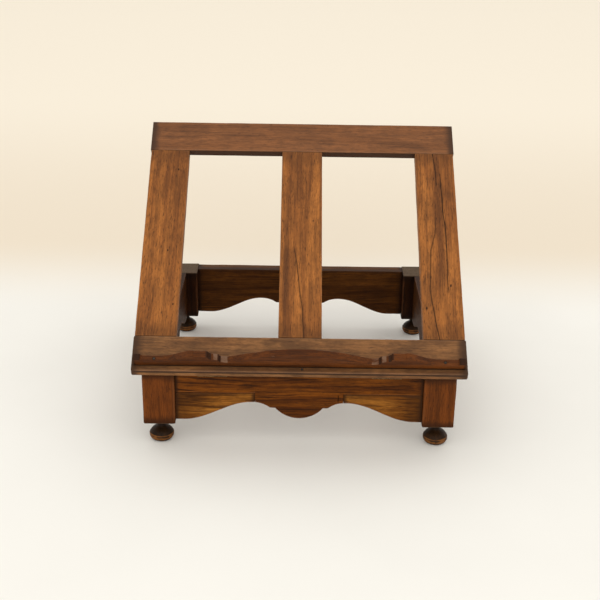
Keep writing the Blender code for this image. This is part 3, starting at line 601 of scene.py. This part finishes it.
def makeFeet(look):
    profile = smoothLine([(radius * mm, height * mm) for radius, height in look["profile"]], 4)
    segments = 72
    for end in ("front", "rear"):
        for side, sign in sideSigns:
            node = f"foot_{end}_{side}"
            low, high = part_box(node)
            shift = (sign * 3.1, low.y * 7, 2.2)
            verts, wear_and_sheen = [], []
            for radius, height in profile:
                # Wear round the lower bun, and a narrow ring at the rim that is a painted highlight as well
                # as wear
                rubbedAndSheen = math.exp(-(((height - 5 * mm) / (3.4 * mm)) ** 2))
                rubbedAndSheen += math.exp(-(((height - 9 * mm) / (0.9 * mm)) ** 2))
                for step in range(segments):
                    turn = 2 * math.pi * step / segments
                    spot = Vector((math.cos(turn), math.sin(turn), height * 60)) + Vector(shift)
                    uneven = radius * (1 - 0.008 * (noise.noise(spot * 1.4) + 1))
                    verts.append((height, uneven * math.cos(turn), uneven * math.sin(turn)))
                    wear_and_sheen.append(min(1.0, rubbedAndSheen))
            faces = [tuple(range(segments)), tuple(range(len(verts) - segments, len(verts)))]
            for row in range(len(profile) - 1):
                for step in range(segments):
                    a, b = row * segments, (row + 1) * segments
                    after = (step + 1) % segments
                    faces.append((a + step, a + after, b + after, b + step))
            # Painted shade: darker from 17 mm up, on the neck and the top of the bun under the post
            grime_and_shade = [min(1.0, max(0.0, (vert[0] / mm - 17) / 4)) for vert in verts]
            mesh = skinMesh(node, verts, faces, {"wear_and_sheen": wear_and_sheen, "grime_and_shade": grime_and_shade})
            wood = makeWalnut(f"{node}Ebonised", look, shift)
            middle = (low + high) / 2
            place = Matrix.Translation((middle.x, middle.y, 0)) @ upright
            addPiece(f"{node}_turned", mesh, wood, place, "base", [node])


apronLook = {
    "arris": 0.8 * mm, "rub": 0.3 * mm, "shoulderGap": 0.06 * mm,
    "light": (0.19, 0.053, 0.0035), "middle": (0.1, 0.025, 0.0015), "dark": (0.02, 0.005, 0.0005),
    "worn": (0.2, 0.08, 0.03), "streaks": 0.9, "clouds": 0.35, "pores": 0.5, "wear_and_sheen": 0.3,
    "grime_and_shade": 0.85, "gloss": 0.44, "shine": 0.08,
    # The scalloped edge, in millimetres from its middle and over its low ends
    "lobe": (31, 3.6, 18.3), "step": ((37, 18.7), (38.5, 19.2)), "peak": (61, 26.6), "foot": 151,
    "plainRise": 0.92, "plainFoot": 141, "blockStart": 57.5, "blockHeight": 39.4, "jointGap": 0.06 * mm,
    "kerfs": ((50.8, 38.4),),
}


# Points after start on an S-shaped curve, level at both ends
def eased(start, end, steps):
    points = []
    for step in range(1, steps + 1):
        share = step / steps
        lift = (1 - math.cos(math.pi * share)) / 2
        points.append((start[0] + (end[0] - start[0]) * share, start[1] + (end[1] - start[1]) * lift))
    return points


def curved(start, handle, otherHandle, end, steps):
    knots = [Vector((*point, 0)) for point in (start, handle, otherHandle, end)]
    return [(point.x, point.y) for point in interpolate_bezier(*knots, steps + 1)[1:]]


# Half of the scalloped edge as (from the middle, over the low end), in metres
def scallop(look, half, fullHalf, foot, rise=1.0):
    lobeHalf, lobeLow, lobeTop = look["lobe"]
    radius = (lobeHalf**2 + (lobeTop - lobeLow) ** 2) / (2 * (lobeTop - lobeLow))
    points = []
    for step in range(17):
        turn = math.asin(lobeHalf / radius) * step / 16
        points.append((radius * math.sin(turn), lobeLow + radius * (1 - math.cos(turn))))
    points += look["step"]
    corner, peak = look["step"][1], look["peak"]
    points += curved(corner, (corner[0] + 8, peak[1] - 1.2), (peak[0] - 7, peak[1]), peak, 12)
    points += eased(peak, (foot, 0), 28)
    widen = half / fullHalf
    return [(along * mm * widen, height * mm * rise) for along, height in points] + [(half, 0.0)]


def heightAt(edge, x):
    along, height = zip(*edge)
    return float(np.interp(abs(x), along, height))


# An apron or a block: the edge gives its lower outline, top its upper side
def makeApron(name, look, edge, low, high, thick, bottom, top, place, nodes, shift, patches=()):
    middle = Vector(((low + high) / 2, 0, 0))
    corners = [sign * point[0] for sign in (-1, 1) for point in edge]
    stations = [x - middle.x for x in spread(low, high, 5 * mm, corners)]

    def ringAt(x):
        base = bottom + heightAt(edge, x + middle.x)
        return roundedRing((-thick / 2, base), (thick / 2, top(x + middle.x)), look["arris"])

    # Painted shade under the moulding: the front face darkens toward its top
    def shadeAndSoil(x, across, height):
        return 0.8 * min(1.0, max(0.0, 1 - (top(x) - height) / (6 * mm))) if across < 0 else 0.0

    mesh = loftBoard(name, stations, ringAt, look["arris"], 7 * mm, shadeAndSoil)
    rubDown(mesh, look["rub"], shift)
    wood = makeWalnut(f"{name}Walnut", look, shift, patches=patches)
    return addPiece(name, mesh, wood, place @ Matrix.Translation(middle), "base", nodes)


# Shaded copies of the apron wood: the rear and side aprons are painted darker for the shade they stand in
# under the easel
shadedRearApronLook = {
    **apronLook, "light": (0.11, 0.036, 0.004), "middle": (0.065, 0.019, 0.0015), "streaks": 0.7,
}
shadedSideApronLook = {**shadedRearApronLook, "light": (0.07, 0.022, 0.002), "middle": (0.04, 0.011, 0.001)}
# The glued-on corners, browner toward the post; the left one is the more golden
blockLooks = {
    "left": {
        **apronLook, "light": (0.42, 0.165, 0.025), "middle": (0.24, 0.08, 0.008),
        "dark": (0.035, 0.01, 0.001),
    },
    "right": {
        **apronLook, "light": (0.36, 0.135, 0.018), "middle": (0.2, 0.063, 0.006),
        "dark": (0.03, 0.009, 0.001),
    },
}


def makeAprons(look, shadedRearLook, shadedSideLook, blockLooks):
    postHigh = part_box("post_front_left")[1]
    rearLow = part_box("post_rear_left")[0]
    top = postHigh.z
    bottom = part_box("front_apron_block_left")[0].z
    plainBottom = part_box("rear_apron")[0].z
    half = -postHigh.x - look["shoulderGap"]
    fullHalf = -postHigh.x
    edge = scallop(look, half, fullHalf, look["foot"])

    # Front apron without its lower corners, which are blocks of their own
    start = look["blockStart"] * mm
    blockTop = look["blockHeight"] * mm
    gap = look["jointGap"]
    kept = [point for point in edge if point[0] < start - 4 * gap]
    stepped = [
        *kept, (start - gap - 0.08 * mm, heightAt(edge, start - gap)),
        (start - gap, blockTop + gap), (half, blockTop + gap),
    ]
    low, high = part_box("front_apron")
    thick = high.y - low.y
    place = Matrix.Translation((0, (low.y + high.y) / 2, 0))
    front = makeApron(
        "front_apron_wood", look, stepped, -half, half, thick, bottom, lambda x: top,
        place, ["front_apron"], (0.3, 1.1, 0.4),
    )
    cuts = []
    for side, sign in sideSigns:
        leafLow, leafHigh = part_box(f"hinge_{side}_base_leaf")
        cuts.append(boxCutter(
            (leafLow.x - 0.3 * mm, low.y - 5 * mm, top - 1.5 * mm),
            (leafHigh.x + 0.3 * mm, leafHigh.y + 0.3 * mm, top + 3 * mm),
        ))
    for across, height in look["kerfs"]:  # where a saw ran past the corner of the repair
        cuts.append(boxCutter(
            ((across - 0.45) * mm, low.y - mm, bottom + (height - 11) * mm),
            ((across + 0.45) * mm, low.y + 5 * mm, bottom + height * mm),
        ))
    carve(front, cuts, alongX)
    settleShading(front)
    cornerEdge = [(start + gap, heightAt(edge, start + gap))]
    cornerEdge += [point for point in edge if point[0] > start + 4 * gap]
    for side, sign in sideSigns:
        ends = sorted((sign * (start + gap), sign * half))
        reach = (half - start) / 2
        browned = [(sign * reach, 0, 50 * mm, 1.0, 0.8)]
        block = makeApron(
            f"front_apron_block_{side}_wood", blockLooks[side], cornerEdge, ends[0], ends[1], thick, bottom,
            lambda x: bottom + blockTop - gap, place,
            [f"front_apron_block_{side}"], (1.4 * sign, 0.6, 3.1), browned,
        )
        settleShading(block)

    rearPlace = Matrix.Translation((0, sum(box.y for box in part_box("rear_apron")) / 2, 0))
    plainEdge = scallop(look, half, fullHalf, look["plainFoot"], look["plainRise"])
    rear = makeApron(
        "rear_apron_wood", shadedRearLook, plainEdge, -half, half, thick, plainBottom, lambda x: top,
        rearPlace, ["rear_apron"], (2.3, 0.2, 5.1),
    )
    settleShading(rear)

    # Side aprons, with the same edge stretched to their length
    sideHalf = (rearLow.y - postHigh.y) / 2 - look["shoulderGap"]
    centreY = (rearLow.y + postHigh.y) / 2
    sideEdge = scallop(look, sideHalf, fullHalf, look["plainFoot"], look["plainRise"])
    for side, sign in sideSigns:
        low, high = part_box(f"{side}_apron")
        place = Matrix.Translation(((low.x + high.x) / 2, centreY, 0)) @ alongY
        apron = makeApron(
            f"{side}_apron_wood", shadedSideLook, sideEdge, -sideHalf, sideHalf, high.x - low.x, plainBottom,
            lambda x: top, place, [f"{side}_apron"], (0.9, 1.7 * sign, 6.3),
        )
        settleShading(apron)


barLook = {**apronLook, "notches": 5, "pitch": 15 * mm, "depth": 5.5 * mm, "arris": 0.7 * mm}


def makeNotchedBar(look):
    low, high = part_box("ratchet_bar")
    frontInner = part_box("front_apron")[1].y + 0.3 * mm
    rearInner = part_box("rear_apron")[0].y - 0.3 * mm
    middle = Vector((0, (frontInner + rearInner) / 2, (low.z + high.z) / 2))
    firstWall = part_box("strut")[1].y + 0.3 * mm - middle.y
    half = (rearInner - frontInner) / 2
    top = high.z - middle.z
    line = [(-half, top)]
    for number in range(look["notches"]):
        wall = firstWall + number * look["pitch"]
        foot = (wall - 1.5 * mm, top - look["depth"])
        line += [(wall - 11 * mm, top), foot, (wall - 0.3 * mm, top - 0.4 * mm), (wall, top)]
    line.append((half, top))
    along, heights = zip(*line)

    def ringAt(x):
        width = (high.x - low.x) / 2
        upper = float(np.interp(x, along, heights))
        return roundedRing((-width, low.z - middle.z), (width, upper), look["arris"])

    mesh = loftBoard("ratchet_bar", spread(-half, half, 5 * mm, along), ringAt, look["arris"])
    rubDown(mesh, look["rub"], (0.2, 0.8, 4.4))
    wood = makeWalnut("notchedBarWalnut", look, (4.2, 0.8, 4.4))
    place = Matrix.Translation(middle) @ alongY
    bar = addPiece("ratchet_bar_wood", mesh, wood, place, "base", ["ratchet_bar"])
    settleShading(bar)


railLook = {
    "arris": 0.8 * mm, "rub": 0.2 * mm, "light": (0.245, 0.092, 0.03), "middle": (0.195, 0.07, 0.021),
    "dark": (0.06, 0.026, 0.012), "worn": (0.28, 0.14, 0.07), "ends": (0.06, 0.03, 0.015), "streaks": 0.4,
    "clouds": 0.35, "pores": 0.5, "wear_and_sheen": 0.3, "grime_and_shade": 0.9, "gloss": 0.4, "shine": 0.2,
    # The bottom rail's moulded front edge, in millimetres from its foremost line and its underside
    "bead": ((1.2, 12.5), (0.3, 12.1), (0, 11.2), (0.2, 9.9)), "quirk": ((1.7, 9.1), (1.9, 8.2)),
    "nosing": ((0.2, 7.9), (-2.4, 5.9), (-2.2, -0.3), (0.6, -0.4)), "under": ((3.2, -0.4), (3.2, 0)),
    "reach": 1.63 * mm, "drop": 0.4 * mm, "endRadius": 1.6 * mm,
}


bottomRailLook = {
    **railLook, "light": (0.285, 0.127, 0.043), "middle": (0.225, 0.095, 0.031),
    "dark": (0.06, 0.027, 0.012), "streaks": 0.4, "clouds": 0.6, "shine": 0.17,
}


def makeTopRail(look):
    low, high = nodeBox("top_rail", easelPlace)
    middle, half = (low + high) / 2, (high - low) / 2

    def ringAt(x):
        return roundedRing((-half.y, -half.z), (half.y, half.z), look["arris"])

    # The lower edge, over the windows, is darkened: painted shade under the rail, with old dirt
    def shadeAndSoil(x, across, height):
        return 1.0 if across < 0.3 * mm - half.y and height < half.z - 0.5 * mm else 0.0

    mesh = loftBoard("top_rail", spread(-half.x, half.x, 5 * mm), ringAt, look["arris"], 14 * mm, shadeAndSoil)
    rubDown(mesh, look["rub"], (1.2, 3.3, 0.9))
    wood = makeWalnut("topRailWalnut", look, (1.2, 3.3, 0.9))
    place = easelPlace @ Matrix.Translation(middle)
    rail = addPiece("top_rail_wood", mesh, wood, place, "easel", ["top_rail"])
    settleShading(rail)


# The moulded section of the bottom rail, from its upper face round to its back
def mouldedRing(look, front, back, under, face):
    def spot(point):
        return front + point[0] * mm, under + point[1] * mm

    bead = smoothLine(look["bead"], 3)
    nosing = [look["nosing"][0], *curved(*look["nosing"], 14)]
    points = [spot(point) for point in (*bead, *look["quirk"], *nosing, *look["under"])]
    wear_and_sheen = [1.0] * len(bead) + [0.0] * (len(look["quirk"]) + 4)
    wear_and_sheen += [0.3] * (len(nosing) - 4) + [0.0] * len(look["under"])
    radius = look["arris"]
    points += [(front + 6 * mm, under), (back - 5 * mm, under)]
    wear_and_sheen += [0.0, 0.0]
    for centreZ, first in ((under + radius, -math.pi / 2), (face - radius, 0)):
        for step in range(5):
            turn = first + math.pi / 8 * step
            points.append((back - radius + radius * math.cos(turn), centreZ + radius * math.sin(turn)))
            wear_and_sheen.append(1.0)
    for across, worn in ((back - 2 * mm, 0.4), (back - 5 * mm, 0.0)):
        points.append((across, face))
        wear_and_sheen.append(worn)
    for inward, worn in ((11, 0), (8.6, 0), (7.4, 0), (6.5, 0), (5, 0), (2.4, 0.5)):
        points.append((front + inward * mm, face))
        wear_and_sheen.append(worn)
    # A black painted shadow line runs along the foot of the lip
    line = front + 7.4 * mm
    crackAndShadeLine = [1.0 if height == face and abs(across - line) < 0.1 * mm else 0.0 for across, height in points]
    return points, wear_and_sheen, crackAndShadeLine


def makeBottomRail(look):
    low, high = nodeBox("bottom_rail", easelPlace)
    middle, half = (low + high) / 2, (high - low) / 2

    def ringAt(x):
        return mouldedRing(look, look["reach"] - half.y, half.y, look["drop"] - half.z, half.z)

    # Painted shade darkens the lip's foot and the quirk of the moulding; the strip before the lip is
    # darkened by half, and the other faces a little
    def shadeAndSoil(x, across, height):
        inward = (across + half.y - look["reach"]) / mm
        if height > half.z - 0.2 * mm:
            return max(0.5 if inward < 6 else 0.0, 0.9 - abs(inward - 7.2) / 2.4)
        return 1.0 if 7.2 < (height + half.z - look["drop"]) / mm < 9.9 and inward < 3 else 0.3

    stations = spread(-half.x, half.x, 4 * mm)
    mesh = loftBoard("bottom_rail", stations, ringAt, look["endRadius"], 16 * mm, shadeAndSoil)
    rubDown(mesh, look["rub"], (0.4, 6.1, 2.2))
    wood = makeWalnut("bottomRailWalnut", look, (5.4, 6.1, 2.2))
    place = easelPlace @ Matrix.Translation(middle)
    rail = addPiece("bottom_rail_wood", mesh, wood, place, "easel", ["bottom_rail"])
    cuts = []
    for side, sign in sideSigns:
        leafLow, leafHigh = nodeBox(f"hinge_{side}_easel_leaf", easelPlace)
        cuts.append(boxCutter(
            (leafLow.x - 0.3 * mm, -1.2 * mm, low.z - 2 * mm),
            (leafHigh.x + 0.3 * mm, leafHigh.y + 0.3 * mm, leafHigh.z + 0.4 * mm),
        ))
        cuts.append(roundCutter(
            (leafLow.x - 0.3 * mm, 0, 0), (leafHigh.x + 0.3 * mm, 0, 0), 2.5 * mm, 2.5 * mm,
        ))
    cuts.append(nailDimple("strip_nail", high.z + 0.2 * mm, high.z - 1.4 * mm, 2.0 * mm, 1.5 * mm))
    carve(rail, cuts, easelPlace, untangle=True)
    settleShading(rail)


stileLook = {
    "arris": 0.6 * mm, "rub": 0.3 * mm, "light": (0.41, 0.146, 0.032), "middle": (0.265, 0.089, 0.021),
    "dark": (0.065, 0.025, 0.01), "worn": (0.36, 0.16, 0.055), "streaks": 0.4, "clouds": 0.4,
    "pores": 0.8, "wear_and_sheen": 0.3, "grime_and_shade": 0.35, "gloss": 0.42, "shine": 0.12,
    # Drying cracks: (up from the lower joint, right of the middle, depth), in millimetres
    "cracks": {
        "right_stile": (
            ((0, -6.2, 0.7), (42, -11.6, 0.7), (73, -15.2, 0.6), (136, -11.3, 0.5), (165, -4, 0.3),
             (200, -3, 0.1), (235, 0.2, 0.1), (254, 1.0, 0.5), (277, -0.5, 0.6), (296, -2.3, 0.6)),
            ((60, 8, 0), (81, 8.7, 0.4), (128, 10, 0.8), (176, 9.8, 1.0), (192, 7.9, 1.0),
             (217, 7.8, 1.0), (253, 6.8, 0.6), (270, 6, 0), (296, 5, 0)),
        ),
        "centre_stile": (
            ((0, 4.7, 0.5), (40, 2.9, 0.6), (70, -1.2, 0.6), (113, -5.6, 0.5), (140, -9.9, 0.2),
             (170, -12, 0), (296, -12, 0)),
        ),
    },
    # Knots: (up from the lower joint, right of the middle, radius)
    "knots": {
        "left_stile": ((263, 13.5, 1.3), (130, 7.1, 1.2), (47, 19.6, 1.1)),
        "right_stile": ((81, 12.7, 1.5), (46, -20.7, 1.7)),
        "centre_stile": ((180, 16, 1.0),),
    },
    # Patches: (up from the lower joint, right of the middle, half length, half width, strength),
    # darker where the strength is positive and more golden where it is negative
    "patches": {
        "left_stile": (
            (250, 14, 90, 12, 0.45), (265, -6, 70, 12, 0.3), (150, -14, 110, 7, -0.5),
            (90, 4, 90, 9, -0.3),
        ),
        "centre_stile": (
            (110, -20, 130, 6, 0.85), (255, -2, 60, 18, 0.45), (215, 22, 110, 4, -0.8),
            (80, -2, 90, 8, -0.5), (60, 12, 70, 4, 0.4),
        ),
        "right_stile": (
            (215, -16, 60, 7, -0.7), (150, 2, 110, 7, 0.55), (255, 0, 40, 8, 0.4), (120, 20, 120, 5, -0.3),
            (60, -16, 60, 7, 0.3),
        ),
    },
}


def makeStiles(look):
    lower = nodeBox("bottom_rail", easelPlace)[1].y + 0.3 * mm
    upper = nodeBox("top_rail", easelPlace)[0].y - 0.3 * mm
    half = (upper - lower) / 2
    for number, node in enumerate(("left_stile", "centre_stile", "right_stile")):
        low, high = nodeBox(node, easelPlace)
        middle = Vector(((low.x + high.x) / 2, (lower + upper) / 2, (low.z + high.z) / 2))
        width, thick = (high.x - low.x) / 2, (high.z - low.z) / 2
        cracks = look["cracks"].get(node, ())

        def ringAt(x):
            grooves = []
            for crackAndShadeLine in cracks:
                up, right, deep = zip(*crackAndShadeLine)
                here = (x + half) / mm
                deeper = 0.5 * noise.noise(Vector((x * 90, right[0], 0)))
                sway = 0.5 * mm * noise.noise(Vector((x * 60, 3, right[0])))
                depth = float(np.interp(here, up, deep)) * (1 + deeper)
                across = -float(np.interp(here, up, right)) * mm + sway
                grooves.append((across, (0.35 + 1.3 * depth) * mm, max(depth, 0.004) * mm))
            return roundedRing((-width, -thick), (width, thick), look["arris"], grooves)

        mesh = loftBoard(node, spread(-half, half, 3 * mm), ringAt, look["arris"])
        shift = (number * 1.9 + 0.4, number * 0.77, 0.3)
        rubDown(mesh, look["rub"], shift)
        knots = [
            (up * mm - half, -right * mm, thick, radius * mm)
            for up, right, radius in look["knots"].get(node, ())
        ]
        patches = [
            (up * mm - half, -right * mm, halfLength * mm, halfWidth * mm, strength)
            for up, right, halfLength, halfWidth, strength in look["patches"][node]
        ]
        wood = makeWalnut(f"{node}Walnut", look, shift, knots, patches)
        place = easelPlace @ Matrix.Translation(middle) @ alongY
        stile = addPiece(f"{node}_wood", mesh, wood, place, "easel", [node])
        settleShading(stile)


lipLook = {
    **railLook, "arris": 0.7 * mm, "rub": 0.3 * mm, "light": (0.14, 0.038, 0.005),
    # The worn colour paints both the rubbed arrises and the painted sheen on the top
    "middle": (0.082, 0.021, 0.0025), "dark": (0.03, 0.009, 0.002), "worn": (0.2, 0.115, 0.07),
    "streaks": 0.6, "clouds": 0.4, "wear_and_sheen": 0.75,
    "shine": 0.12, "arrisWear": 0.4,
    # Stretches of the top, in millimetres from the middle: paler with a painted sheen, or darker with
    # painted shade, by the way each facet faces
    "sheenFacets": ((92, 100), (103, 109)), "shadedFacets": ((100.5, 102.5), (112, 118), (202.5, 212)),
}


# Half of the lip's upper edge, in millimetres from its middle and over its foot
def lipLine():
    points = [(0, 33.5)]
    points += curved((0, 33.5), (38, 33.5), (58, 23), (88, 11), 24)
    points += curved((88, 11), (92, 9.5), (98, 10.5), (102, 13), 10)
    points += [(102.5, 16.5), (109, 18)]
    points += curved((109, 18), (113, 18.5), (115.5, 21), (116.5, 25), 8)
    points += [(133.5, 25.4), (134.5, 27), (137.5, 27)]
    points += curved((137.5, 27), (149, 23), (160, 11.4), (175, 10.4), 18)
    points += [(200, 10), (202, 11.5), (203, 14.4), (212, 14.4)]
    return [(along * mm, height * mm) for along, height in points]


def makeLip(look):
    low, high = nodeBox("book_lip", easelPlace)
    edge = lipLine()
    half, thick = high.x, high.y - low.y
    corners = [sign * point[0] for sign in (-1, 1) for point in edge]

    def ringAt(x):
        top = heightAt(edge, x)
        points, wear_and_sheen, crackAndShadeLine = roundedRing((-thick / 2, 0), (thick / 2, top), look["arris"])
        wear_and_sheen = [worn * look["arrisWear"] for worn in wear_and_sheen]
        # Painted sheen: the top of some stretches is made pale
        if any(near * mm <= abs(x) <= far * mm for near, far in look["sheenFacets"]):
            wear_and_sheen = [0.85 if point[1] > top - 0.6 * mm else worn for point, worn in zip(points, wear_and_sheen)]
        # A painted shadow line along the foot of the front face
        crackAndShadeLine = [0.9 if point[0] < 0 and point[1] < 0.4 * mm else 0.0 for point in points]
        return points, wear_and_sheen, crackAndShadeLine

    # Painted shade: the front face darkens toward its foot, and some facets darken along the top
    def shadeAndSoil(x, across, height):
        foot = max(0.0, 1 - height / (3 * mm)) if across < 0 else 0.0
        shadedFacets = any(near * mm <= abs(x) <= far * mm for near, far in look["shadedFacets"])
        return max(foot, 1.0 if shadedFacets and height > heightAt(edge, x) - 1.5 * mm else 0.0)

    stations = spread(-half, half, 2.5 * mm, corners)
    mesh = loftBoard("book_lip", stations, ringAt, look["arris"], 5 * mm, shadeAndSoil)
    rubDown(mesh, look["rub"], (0.6, 2.8, 7.7))
    wood = makeWalnut("bookLipWalnut", look, (3.6, 2.8, 7.7))
    place = easelPlace @ Matrix.Translation((0, (low.y + high.y) / 2, low.z))
    lip = addPiece("book_lip_wood", mesh, wood, place, "easel", ["book_lip"])
    cuts = []
    for side, sign in sideSigns:
        node = f"lip_nail_{side}"
        head = nodeBox(node, easelPlace)[1].z
        cuts.append(nailDimple(node, head + 1.2 * mm, head - 0.8 * mm, 3.4 * mm, 1.6 * mm))
    carve(lip, cuts, easelPlace)
    settleShading(lip)


strutLook = {**apronLook, "arris": 0.8 * mm, "middle": (0.13, 0.045, 0.013), "light": (0.18, 0.066, 0.02)}


def makeStrut(look):
    pivot = Vector(jointByName["strut_swing"]["pos_m"])
    low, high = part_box("strut")
    radius = pivot.y - low.y
    slope = math.atan2(high.z - low.z - 2 * radius, high.y - low.y - 2 * radius)
    length = math.hypot(high.z - low.z - 2 * radius, high.y - low.y - 2 * radius)
    width = (high.x - low.x) / 2
    reach = radius - 0.05 * mm
    rounding = [reach * math.sin(math.pi / 2 * step / 8) for step in range(9)]
    ends = [-step for step in rounding] + [length + step for step in rounding]
    spots = spread(-reach, length + reach, 5 * mm, ends)

    def ringAt(x):
        past = max(0.0, -x, x - length)
        deep = max(0.6 * mm, math.sqrt(max(0.0, radius**2 - past**2)))
        return roundedRing((-width, -deep), (width, deep), min(look["arris"], deep * 0.6))

    mesh = loftBoard("strut", spots, ringAt, 0.3 * mm)
    rubDown(mesh, look["rub"] * 0.6, (0.5, 5.5, 1.5))
    wood = makeWalnut("strutWalnut", look, (0.5, 5.5, 1.5))
    place = Matrix.Translation(pivot) @ Matrix.Rotation(-slope, 4, "X") @ alongY
    strut = addPiece("strut_wood", mesh, wood, place, "strut", ["strut"])
    hole = roundCutter((-width - mm, 0, 0), (width + mm, 0, 0), 1.72 * mm, 1.72 * mm)
    carve(strut, [hole], Matrix.Translation(pivot))
    settleShading(strut)


metalLook = {
    "brass": {
        "bright": (0.3, 0.2, 0.085), "dull": (0.1, 0.066, 0.034), "dark": (0.02, 0.014, 0.009),
        "gloss": 0.42,
    },
    "steel": {
        "bright": (0.14, 0.125, 0.11), "dull": (0.06, 0.05, 0.042), "dark": (0.018, 0.013, 0.01),
        "gloss": 0.46,
    },
}


# Old metal: bright where it rubs, dull elsewhere, dark in spots
def makeOldMetal(name, look):
    material, tree, shader = newMaterial(name)
    own = addNode(tree, "TexCoord").outputs["Object"]
    cloud = noiseOf(tree, own, 160.0, 4, 0.65, 0.4)
    speck = noiseOf(tree, own, 900.0, 2, 0.6)
    scratch = noiseOf(tree, stretch(tree, own, (140, 1400, 1400)), 1.0, 2, 0.5)
    colour = mixColours(tree, rise(tree, cloud, 0.38, 0.62), (*look["bright"], 1), (*look["dull"], 1))
    colour = mixColours(tree, rise(tree, speck, 0.52, 0.68), colour, (*look["dark"], 1))
    tree.links.new(colour, shader.inputs["Base Color"])
    shader.inputs["Metallic"].default_value = 1.0
    tree.links.new(sums(tree, "MULTIPLY_ADD", cloud, 0.3, look["gloss"] - 0.1), shader.inputs["Roughness"])
    addBump(tree, shader, sums(tree, "MULTIPLY_ADD", scratch, 0.4, speck), 0.3, 0.15 * mm)
    return material


def dressMetal(looks):
    brass = makeOldMetal("agedBrass", looks["brass"])
    steel = makeOldMetal("darkSteel", looks["steel"])
    for name, node in frame["nodes"].items():
        if node.hide_render:
            continue
        metal = brass if "leaf" in name or "bracket" in name and "screw" not in name else steel
        for slot in node.material_slots:
            slot.material = metal


floorLook = {
    "size": 14.0, "tone": (0.9, 0.89, 0.85), "shade": (0.875, 0.865, 0.825),
    "cream": (0.82, 0.73, 0.6), "farCream": (0.9, 0.83, 0.71), "creamFrom": 0.24, "creamTo": 0.6,
}


def makeFloor(look):
    material, tree, shader = newMaterial("paleFloor")
    own = addNode(tree, "TexCoord").outputs["Object"]
    cloud = noiseOf(tree, own, 3.0, 3, 0.5)
    colour = mixColours(tree, rise(tree, cloud, 0.3, 0.7), (*look["tone"], 1), (*look["shade"], 1))
    # Creamier behind the stand
    back = addNode(tree, "SeparateXYZ", {0: own}).outputs["Y"]
    further = rise(tree, back, look["creamTo"], 1.8)
    cream = mixColours(tree, further, (*look["cream"], 1), (*look["farCream"], 1))
    colour = mixColours(tree, rise(tree, back, look["creamFrom"], look["creamTo"]), colour, cream)
    tree.links.new(colour, shader.inputs["Base Color"])
    shader.inputs["Roughness"].default_value = 0.85
    shader.inputs["Specular IOR Level"].default_value = 0.1
    half = look["size"] / 2
    mesh = bpy.data.meshes.new("floor")
    corners = [(-half, -half, 0), (half, -half, 0), (half, half, 0), (-half, half, 0)]
    mesh.from_pydata(corners, [], [(0, 1, 2, 3)])
    mesh.materials.append(material)
    floor = bpy.data.objects.new("floor", mesh)
    bpy.context.scene.collection.objects.link(floor)
    floor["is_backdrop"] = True


makeCamera(cameraLook)
makeLights(lightLook)
print("camera and lights placed")
makePosts(postLook, shadedRearPostLook)
makeFeet(footLook)
makeAprons(apronLook, shadedRearApronLook, shadedSideApronLook, blockLooks)
makeNotchedBar(barLook)
print("base built")
makeTopRail(railLook)
makeBottomRail(bottomRailLook)
makeStiles(stileLook)
makeLip(lipLook)
print("easel built")
makeStrut(strutLook)
dressMetal(metalLook)
print("strut and metal built")
makeFloor(floorLook)
print("floor laid")

{"cad": cadBox, "visual": boxNumbers()}
